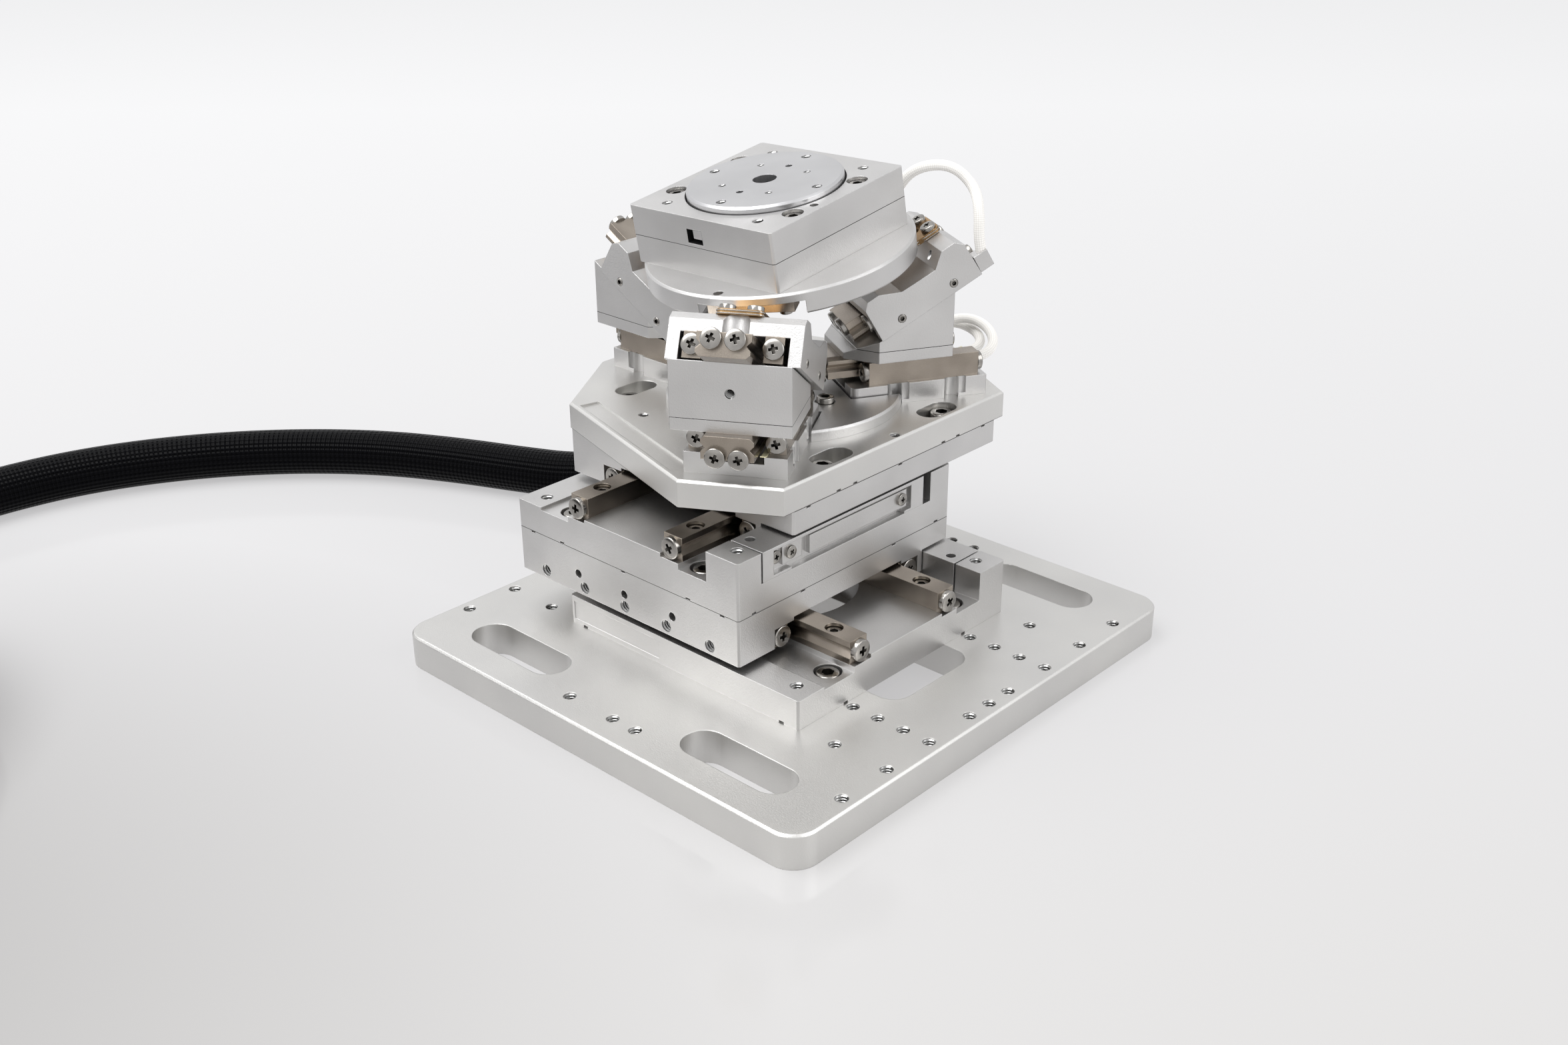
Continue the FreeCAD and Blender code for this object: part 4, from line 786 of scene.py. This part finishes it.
def fitStage(level, fixedBody, movingBody):
    fit = stageFittings
    fixed, moving = stagePlace(level, False), stagePlace(level, True)
    placeCopies(patterns["railScrew"], level + "FixedRailScrews",
                endScrews(fixed, fit["railEnds"], fit["fixedAcross"], fit["railHeight"]),
                fixedBody)
    placeCopies(patterns["railScrew"], level + "MovingRailScrews",
                endScrews(moving, fit["railEnds"], fit["movingAcross"], fit["railHeight"]),
                movingBody)
    sunk = [(x, y, fit["sunkFloor"]) for x in fit["sunkAlong"] for y in fit["fixedAcross"]]
    placeCopies(patterns["sunkScrew"], level + "SunkScrews", upright(fixed, sunk),
                fixedBody)
    seats = [(x * fit["base"][0], y * fit["base"][1], fit["baseFloor"]) for x, y in corners]
    placeCopies(patterns["baseScrew"], level + "BaseScrews", upright(fixed, seats),
                fixedBody)
    bolts = [(x * fit["bolt"], y * fit["bolt"], fit["boltTops"][0 if y < 0 else 1])
             for x, y in corners]
    placeCopies(patterns["coarseThread"], level + "BaseThreads", upright(fixed, bolts),
                fixedBody)
    holes = [(k * fit["sliderHoles"], -fit["face"], fit["sliderHoleHeight"])
             for k in range(-2, 3)]
    placeCopies(patterns["coarseThread"], level + "SliderThreads", upright(moving, holes, "-y"),
                movingBody)
    spots = [(x, fit["coverFloor"] + lift, fit["coverHeight"]) for x, lift in fit["coverScrews"]]
    placeCopies(patterns["plateScrew"], level + "CoverScrews", upright(fixed, spots, "+y"),
                fixedBody)


fitStage("lower", "base", "x_carriage")
fitStage("upper", "x_carriage", "y_carriage")
print("stages fitted")


# base plate and pod

# outer is the last column's distance from the middle, edge the last row's
plateHoles = {"outer": 42.5, "edge": 42.5, "step": 5.0}


def plateHolePlaces():
    outer, step = plateHoles["outer"], plateHoles["step"]
    spots = []
    for side in (-1, 1):
        spots += [(side * outer, row * step) for row in (-1, 0, 1)]
        for row in (-1, 1):
            spots += [(side * (outer - k * step), row * 3 * step) for k in range(4)]
            spots += [(side * (outer - k * step), row * 5 * step) for k in (0, 2)]
            spots.append((side * outer, row * 7 * step))
    for row in (-1, 1):
        spots += [(k * step, row * plateHoles["edge"]) for k in (-1.5, 0.5, 1.5)]
    return [(x, y, layout["plateTop"]) for x, y in spots]


placeCopies(patterns["coarseThread"], "plateThreads", upright(Matrix(), plateHolePlaces()),
            "base")

podFittings = {"slot": (22.4, 15.3), "slotFloor": 1.2, "tapCircle": 24.7, "top": 4.6,
               "hubCircle": 9.5, "hubFloor": 1.4}


def circleSpots(angles, radius, height):
    angles = [math.radians(angle) for angle in angles]
    return [(radius * math.cos(a), radius * math.sin(a), height) for a in angles]


def fitPod():
    fit = podFittings
    pod, hub = podPlace(layout["podBottom"]), podPlace(layout["legFoot"])
    slots = [(x * fit["slot"][0], y * fit["slot"][1], fit["slotFloor"]) for x, y in corners]
    placeCopies(patterns["baseScrew"], "podScrews", upright(pod, slots),
                "y_carriage")
    taps = circleSpots((0, 120, 240), fit["tapCircle"], fit["top"])
    placeCopies(patterns["middleThread"], "podThreads", upright(pod, taps),
                "y_carriage")
    seats = circleSpots((0, 120, 240), fit["hubCircle"], fit["hubFloor"])
    placeCopies(patterns["hubScrew"], "hubScrews", upright(hub, seats),
                "y_carriage")


fitPod()
print("plate and pod fitted")


# legs

legFittings = {
    "trackEnds": (12.7, 32.6), "trackAcross": (-6.3, 6.3), "trackHeight": 5.55,
    "runnerEnds": (-20.5, 1.5), "runnerAcross": (-2.05, 1.65), "runnerHeight": 4.7,
    "upperRunnerEnds": (-18.0, 4.0), "upperRunnerHeight": 2.7,
    "upperTrackEnds": (0.4, 20.3), "upperTrackHeight": 2.6,
    "leafScrews": ((17.4, -2.2, 8.75), (17.4, 2.2, 8.75)),
    "setBack": (15.1, 4.7), "setHeight": 1.8, "setSide": 9.6,
    "wedgeTap": 14.418, "firstSpin": 2,
}


def fitLeg(leg):
    fit, first = legFittings, legFittings["firstSpin"]
    foot, plane, head = legPlace(leg), inclinePlace(leg, False), inclinePlace(leg)
    face = layout["wedgeFace"][leg]
    shuttle, top = "shuttle_" + leg, "head_" + leg
    placeCopies(patterns["trackScrew"], legName(leg) + "TrackScrews",
                endScrews(foot, fit["trackEnds"], fit["trackAcross"], fit["trackHeight"], first),
                "y_carriage")
    ends = [face + end for end in fit["runnerEnds"]]
    places = endScrews(foot, ends, fit["runnerAcross"], fit["runnerHeight"], first)
    places += endScrews(plane, fit["upperRunnerEnds"], fit["runnerAcross"],
                        fit["upperRunnerHeight"], first)
    placeCopies(patterns["trackScrew"], legName(leg) + "RunnerScrews", places,
                shuttle)
    places = endScrews(head, fit["upperTrackEnds"], fit["trackAcross"],
                       fit["upperTrackHeight"], first)
    placeCopies(patterns["trackScrew"], legName(leg) + "HeadScrews", places,
                top)
    placeCopies(patterns["leafScrew"], legName(leg) + "LeafScrews",
                upright(head, fit["leafScrews"]), top)
    sets = []
    for back in fit["setBack"]:
        sets += upright(head, [(back, fit["setSide"], fit["setHeight"])], "+y")
        sets += upright(head, [(back, -fit["setSide"], fit["setHeight"])], "-y")
    placeCopies(patterns["setScrew"], legName(leg) + "SetScrews", sets, top)
    placeCopies(patterns["wedgeThread"], legName(leg) + "WedgeThread",
                upright(foot, [(face, 0, fit["wedgeTap"])], "+x"), shuttle)


for leg in legs:
    fitLeg(leg)
print("legs fitted")


# spring leaves on the bronze flexure plates: thin layers a little proud of their core

leaf = {"back": 4.65, "front": 19.05, "half": 3.8, "corner": 1.1, "thick": 0.14,
        "levels": (7.95, 8.42), "hole": 0.9, "holeAt": 15.4,
        # scallops along both long edges: radius, depth, first place, step and number
        "bite": 1.3, "wave": 0.22, "biteFrom": 8.2, "biteStep": 3.4, "bites": 3,
        "cut": 2.0}  # half the height of the cutters


def makeLeaf():
    sheet = boxBetween((leaf["back"], leaf["front"]), (-leaf["half"], leaf["half"]),
                       (0, leaf["thick"]))
    for end in (leaf["back"], leaf["front"]):
        for side in (-leaf["half"], leaf["half"]):
            pick(sheet, "EDGE",
                 lambda spot: abs(spot.x - end) < near and abs(spot.y - side) < near)
            bpy.ops.mesh.bevel(offset=leaf["corner"] * mm, segments=5, affect="EDGES")
            endEdit()
    cutWith(sheet, roundBar(32, leaf["hole"], -leaf["cut"], leaf["cut"], leaf["holeAt"]))
    for k in range(leaf["bites"]):
        for side in (-1, 1):
            cutWith(sheet, roundBar(24, leaf["bite"], -leaf["cut"], leaf["cut"],
                                    leaf["biteFrom"] + leaf["biteStep"] * k,
                                    side * (leaf["half"] + leaf["bite"] - leaf["wave"])))
    sheet.data.materials.append(made["springSteel"])
    smooth(sheet, 30)
    return sheet


patterns["leaf"] = makeLeaf()
for leg in legs:
    placeCopies(patterns["leaf"], legName(leg) + "Leaves",
                [inclinePlace(leg) @ move(0, 0, level) for level in leaf["levels"]],
                "head_" + leg)


# cream signal ribbon beside each lower runner, bent up at its outer end

ribbon = {"across": (4.15, 5.0), "from": 12.0, "bend": 33.6, "end": 34.9, "floor": 3.55,
          "thick": 0.16, "fold": (0.5, 0.1), "rise": 0.25}


def makeRibbon():
    strip = boxBetween((ribbon["from"], ribbon["bend"]), ribbon["across"],
                       (ribbon["floor"], ribbon["floor"] + ribbon["thick"]))
    pick(strip, "FACE", lambda middle, normal: normal.x > 0.9)
    forward, up = ribbon["fold"]
    bpy.ops.mesh.extrude_region_move(TRANSFORM_OT_translate={
        "value": (forward * mm, 0, up * mm)})
    bpy.ops.mesh.extrude_region_move(TRANSFORM_OT_translate={
        "value": ((ribbon["end"] - ribbon["bend"] - forward) * mm, 0, ribbon["rise"] * mm)})
    endEdit()
    strip.data.materials.append(made["creamRibbon"])
    smooth(strip, 40)
    return strip


patterns["ribbon"] = makeRibbon()
for leg in legs:
    placeCopies(patterns["ribbon"], legName(leg) + "Ribbon", [legPlace(leg)],
                "y_carriage")
print("leaves and ribbons laid")


# sleeve collar and knurl at the plug

collar = {"radius": 5.15, "long": 13.0, "lip": 0.5, "over": 0.4}
knurl = {"radius": 7.12, "long": 9.4, "start": 8.3, "teeth": 60, "rise": 0.1, "inset": 0.06}


def along(start, end):
    # place with z from start towards end
    return Matrix.Translation(start) @ (end - start).to_track_quat("Z", "Y").to_matrix().to_4x4()


def makeCollar():
    cuff = roundBar(48, collar["radius"], -collar["long"], 0)
    pick(cuff, "EDGE", lambda spot: spot.z < -collar["long"] + near or spot.z > -near)
    bpy.ops.mesh.bevel(offset=collar["lip"] * mm, segments=3, affect="EDGES")
    endEdit()
    cuff.data.materials.append(made["heatShrink"])
    smooth(cuff, 40)
    return cuff


def makeKnurl():
    ring = roundBar(2 * knurl["teeth"], knurl["radius"], 0, knurl["long"])
    step = 180.0 / knurl["teeth"]
    pick(ring, "FACE", lambda middle, normal: abs(normal.z) < 0.5
         and round(math.degrees(math.atan2(middle.y, middle.x)) / step - 0.5) % 2 == 0)
    bpy.ops.mesh.inset(thickness=knurl["inset"] * mm, use_individual=True)
    bpy.ops.transform.shrink_fatten(value=knurl["rise"] * mm)
    endEdit()
    ring.data.materials.append(made["platedNickel"])
    smooth(ring, 30)
    return ring


tailEnd, tailBefore = Vector(sleevePath[-1]), Vector(sleevePath[-4])
flat = Vector((tailEnd.x - tailBefore.x, tailEnd.y - tailBefore.y, 0)).normalized()
layPiece(makeCollar(), along(tailEnd + flat * collar["over"] * mm, tailEnd + flat * mm),
         "sleeveCollar", "base")
layPiece(makeKnurl(), along(tailEnd, tailEnd + flat) @ move(0, 0, knurl["start"]),
         "plugKnurl", "base")
print("plug finished")


# platform

platformFittings = {
    "bodyScrews": (13.1, 7.7), "bodyFloor": -2.0, "bodyTaps": (10.2, 12.6),
    "rotorTop": 1.1, "rotorTurn": 3.6, "bigCircle": 10.9, "smallCircle": 7.0,
    # two small screws under each guide bar, which lies across its leg's line
    "guideReach": {"a": 19.81, "b": 15.16, "c": 17.71}, "guideAcross": (-5.2, 5.2),
    "guideUnder": -13.0,
}


def fitPlatform():
    fit, place = platformFittings, platformPlace()
    screws = [(x * fit["bodyScrews"][0], y * fit["bodyScrews"][1], fit["bodyFloor"])
              for x, y in corners]
    placeCopies(patterns["hubScrew"], "rotationScrews", upright(place, screws),
                "platform")
    taps = [(x * fit["bodyTaps"][0], y * fit["bodyTaps"][1], 0) for x, y in corners]
    placeCopies(patterns["middleThread"], "rotationThreads", upright(place, taps),
                "platform")
    angles = [angle + fit["rotorTurn"] for angle in (0, 90, 180, 270)]
    placeCopies(patterns["middleThread"], "rotorBigThreads",
                upright(place, circleSpots(angles, fit["bigCircle"], fit["rotorTop"])),
                "rotor")
    angles = [angle + fit["rotorTurn"] for angle in (45, 135, 225, 315)]
    placeCopies(patterns["fineThread"], "rotorFineThreads",
                upright(place, circleSpots(angles, fit["smallCircle"], fit["rotorTop"])),
                "rotor")
    for leg in legs:
        bar = place @ move(*layout["discMiddle"], 0) @ turn(layout["legTurn"][leg])
        spots = [(fit["guideReach"][leg], y, fit["guideUnder"]) for y in fit["guideAcross"]]
        placeCopies(patterns["setHead"], legName(leg) + "GuideScrews",
                    upright(bar, spots, "-z"), "platform")


# sensor window in the rotation stage's front face: black walls that are painted shade, and a
# bright tab
window = {"x": (-2.88, 0.48), "y": (-15.88, -14.33), "z": (-4.48, -2.12), "wall": 0.04,
          "tabX": (-1.75, 0.44), "tabY": (-15.7, -14.4), "tabZ": (-3.75, -2.16), "edge": 0.12}


def makeWindow():
    liner = boxBetween(window["x"], window["y"], window["z"])
    pick(liner, "FACE", lambda middle, normal: normal.y < -0.9)
    bpy.ops.mesh.delete(type="FACE")
    endEdit()
    applyModifier(liner, "SOLIDIFY", {"thickness": window["wall"] * mm, "offset": -1})
    liner.data.materials.append(made["windowShadeBlack"])
    layPiece(liner, platformPlace(), "windowShadeLiner", "platform")
    tab = boxBetween(window["tabX"], window["tabY"], window["tabZ"])
    pick(tab, "EDGE", lambda spot: spot.y < window["tabY"][0] + near)
    bpy.ops.mesh.bevel(offset=window["edge"] * mm, segments=2, affect="EDGES")
    endEdit()
    tab.data.materials.append(made["blastedAluminium"])
    layPiece(tab, platformPlace(), "windowTab", "platform")


fitPlatform()
makeWindow()
print("platform fitted")

for pattern in patterns.values():
    bpy.data.objects.remove(pattern)


# camera, table and light

# eye and target in millimetres, focal length and width in pixels
view = {"eye": (174.07, -188.84, 144.58), "target": (-25.88, 27.07, 5.8), "roll": -0.281,
        "focal": 2556.4, "wide": 2352, "sensor": 36.0, "clip": (0.01, 20)}


def placeCamera():
    data = bpy.data.cameras.new("photoCamera")
    data.sensor_width = view["sensor"]
    data.lens = view["focal"] / view["wide"] * view["sensor"]
    data.clip_start, data.clip_end = view["clip"]
    camera = bpy.data.objects.new("photoCamera", data)
    bpy.context.scene.collection.objects.link(camera)
    eye = Vector(view["eye"]) * mm
    back = (eye - Vector(view["target"]) * mm).normalized()
    right = Vector((0, 0, 1)).cross(back).normalized()
    up = back.cross(right)
    roll = math.radians(view["roll"])
    turnedRight = right * math.cos(roll) + up * math.sin(roll)
    turnedUp = up * math.cos(roll) - right * math.sin(roll)
    facingTurn = Matrix((turnedRight, turnedUp, back)).transposed()
    camera.matrix_world = Matrix.Translation(eye) @ facingTurn.to_4x4()
    bpy.context.scene.camera = camera


def seenRays(material):
    # 1 for what the camera sees directly, in gloss and through glass
    path = addNode(material, "ShaderNodeLightPath")
    direct = addNode(material, "ShaderNodeMath", {"operation": "ADD", "use_clamp": True}, links={
        0: (path, "Is Camera Ray"), 1: (path, "Is Glossy Ray")})
    return addNode(material, "ShaderNodeMath", {"operation": "ADD", "use_clamp": True}, links={
        0: (direct, "Value"), 1: (path, "Is Transmission Ray")})


# all in metres
table = {
    "colour": "#EFEFF0", "share": 0.8, "mirror": 0.05, "polish": 0.12, "size": 16,
    # its glow by depth away from the viewer
    "depth": (-0.68, 0.73, 0), "front": -0.5, "back": 0.45,
    "stops": [(0.05, "#E3E3E4"), (0.36, "#C0BEBC"), (0.4, "#C0BEBC"), (0.526, "#C9C8C9"),
              (1.0, "#E3E3E4")],
    # and its dimming round the near left corner, painted shade
    "dimAt": (-0.04, -0.17, 0), "dimReach": 0.16, "dimStops": [(0.2, "#B8B6B4"), (0.9, "#FFFFFF")],
}


def paleTable():
    # glossy white table: it keeps a soft shadow, a faint mirror image of the object,
    # and its own glow for the rays that are seen gives the pale background
    deselect()
    bpy.ops.mesh.primitive_plane_add(size=table["size"])
    ground = bpy.context.object
    ground.name = "whiteTable"
    material = newMaterial("whiteTable")
    lit = addNode(material, "ShaderNodeBsdfDiffuse", inputs={"Color": hexColour(table["colour"])})
    place = addNode(material, "ShaderNodeTexCoord")
    depth = addNode(material, "ShaderNodeVectorMath", {"operation": "DOT_PRODUCT"},
                    {1: table["depth"]}, {0: (place, "Object")})
    away = addNode(material, "ShaderNodeMapRange", inputs={
        "From Min": table["front"], "From Max": table["back"]}, links={"Value": (depth, "Value")})
    tone = addNode(material, "ShaderNodeValToRGB", links={"Fac": (away, "Result")})
    setRamp(tone, table["stops"])
    # painted shade: the glow is dimmed round the near left corner
    apart = addNode(material, "ShaderNodeVectorMath", {"operation": "DISTANCE"},
                    {1: table["dimAt"]}, {0: (place, "Object")})
    reach = addNode(material, "ShaderNodeMapRange", inputs={"From Max": table["dimReach"]},
                    links={"Value": (apart, "Value")})
    dim = addNode(material, "ShaderNodeValToRGB", links={"Fac": (reach, "Result")})
    setRamp(dim, table["dimStops"])
    both = addNode(material, "ShaderNodeMix", {"data_type": "RGBA", "blend_type": "MULTIPLY"},
                   {0: 1.0}, {6: (tone, "Color"), 7: (dim, "Color")})
    glow = addNode(material, "ShaderNodeEmission", inputs={"Strength": 1.0},
                   links={"Color": (both, 2)})
    mirror = addNode(material, "ShaderNodeBsdfGlossy", inputs={
        "Color": (table["mirror"],) * 3 + (1,), "Roughness": table["polish"]})
    share = addNode(material, "ShaderNodeMath", {"operation": "MULTIPLY"}, {1: table["share"]},
                    {0: (seenRays(material), "Value")})
    mix = addNode(material, "ShaderNodeMixShader", links={
        0: (share, "Value"), 1: (lit, "BSDF"), 2: (glow, "Emission")})
    coated = addNode(material, "ShaderNodeAddShader", links={
        0: (mix, "Shader"), 1: (mirror, "BSDF")})
    addNode(material, "ShaderNodeOutputMaterial", links={"Surface": (coated, "Shader")})
    ground.data.materials.append(material)


# places and sizes in metres, power in watts
softboxes = {
    "overheadSoftbox": {"place": (-0.25, -0.25, 0.75), "size": (0.8, 0.6), "power": 8.0},
    "sideSoftbox": {"place": (0.6, 0.2, 0.5), "size": (0.5, 0.5), "power": 2.0},
}
softboxTarget = (0, 0, 0.05)


def softLight(name, facts):
    data = bpy.data.lights.new(name, "AREA")
    data.shape = "RECTANGLE"
    data.size, data.size_y = facts["size"]
    data.energy = facts["power"]
    lamp = bpy.data.objects.new(name, data)
    bpy.context.scene.collection.objects.link(lamp)
    lamp.location = facts["place"]
    toTarget = Vector(facts["place"]) - Vector(softboxTarget)
    lamp.rotation_euler = toTarget.to_track_quat("Z", "Y").to_euler()


walls = {"seen": "#F0F0F1", "lit": "#FFFFFF", "strength": 0.9}


def paleWorld():
    # white studio walls, the same in gloss as to the eye, and near that as a light
    world = bpy.data.worlds.new("studio")
    bpy.context.scene.world = world
    world.use_nodes = True
    world.node_tree.nodes.clear()
    seen = addNode(world, "ShaderNodeBackground", inputs={
        "Color": hexColour(walls["seen"]), "Strength": 1.0})
    lit = addNode(world, "ShaderNodeBackground", inputs={
        "Color": hexColour(walls["lit"]), "Strength": walls["strength"]})
    mix = addNode(world, "ShaderNodeMixShader", links={
        0: (seenRays(world), "Value"), 1: (lit, "Background"), 2: (seen, "Background")})
    addNode(world, "ShaderNodeOutputWorld", links={"Surface": (mix, "Shader")})


placeCamera()
paleTable()
paleWorld()
for name, facts in softboxes.items():
    softLight(name, facts)
bpy.context.scene.view_settings.view_transform = "Standard"
print("camera and light set")
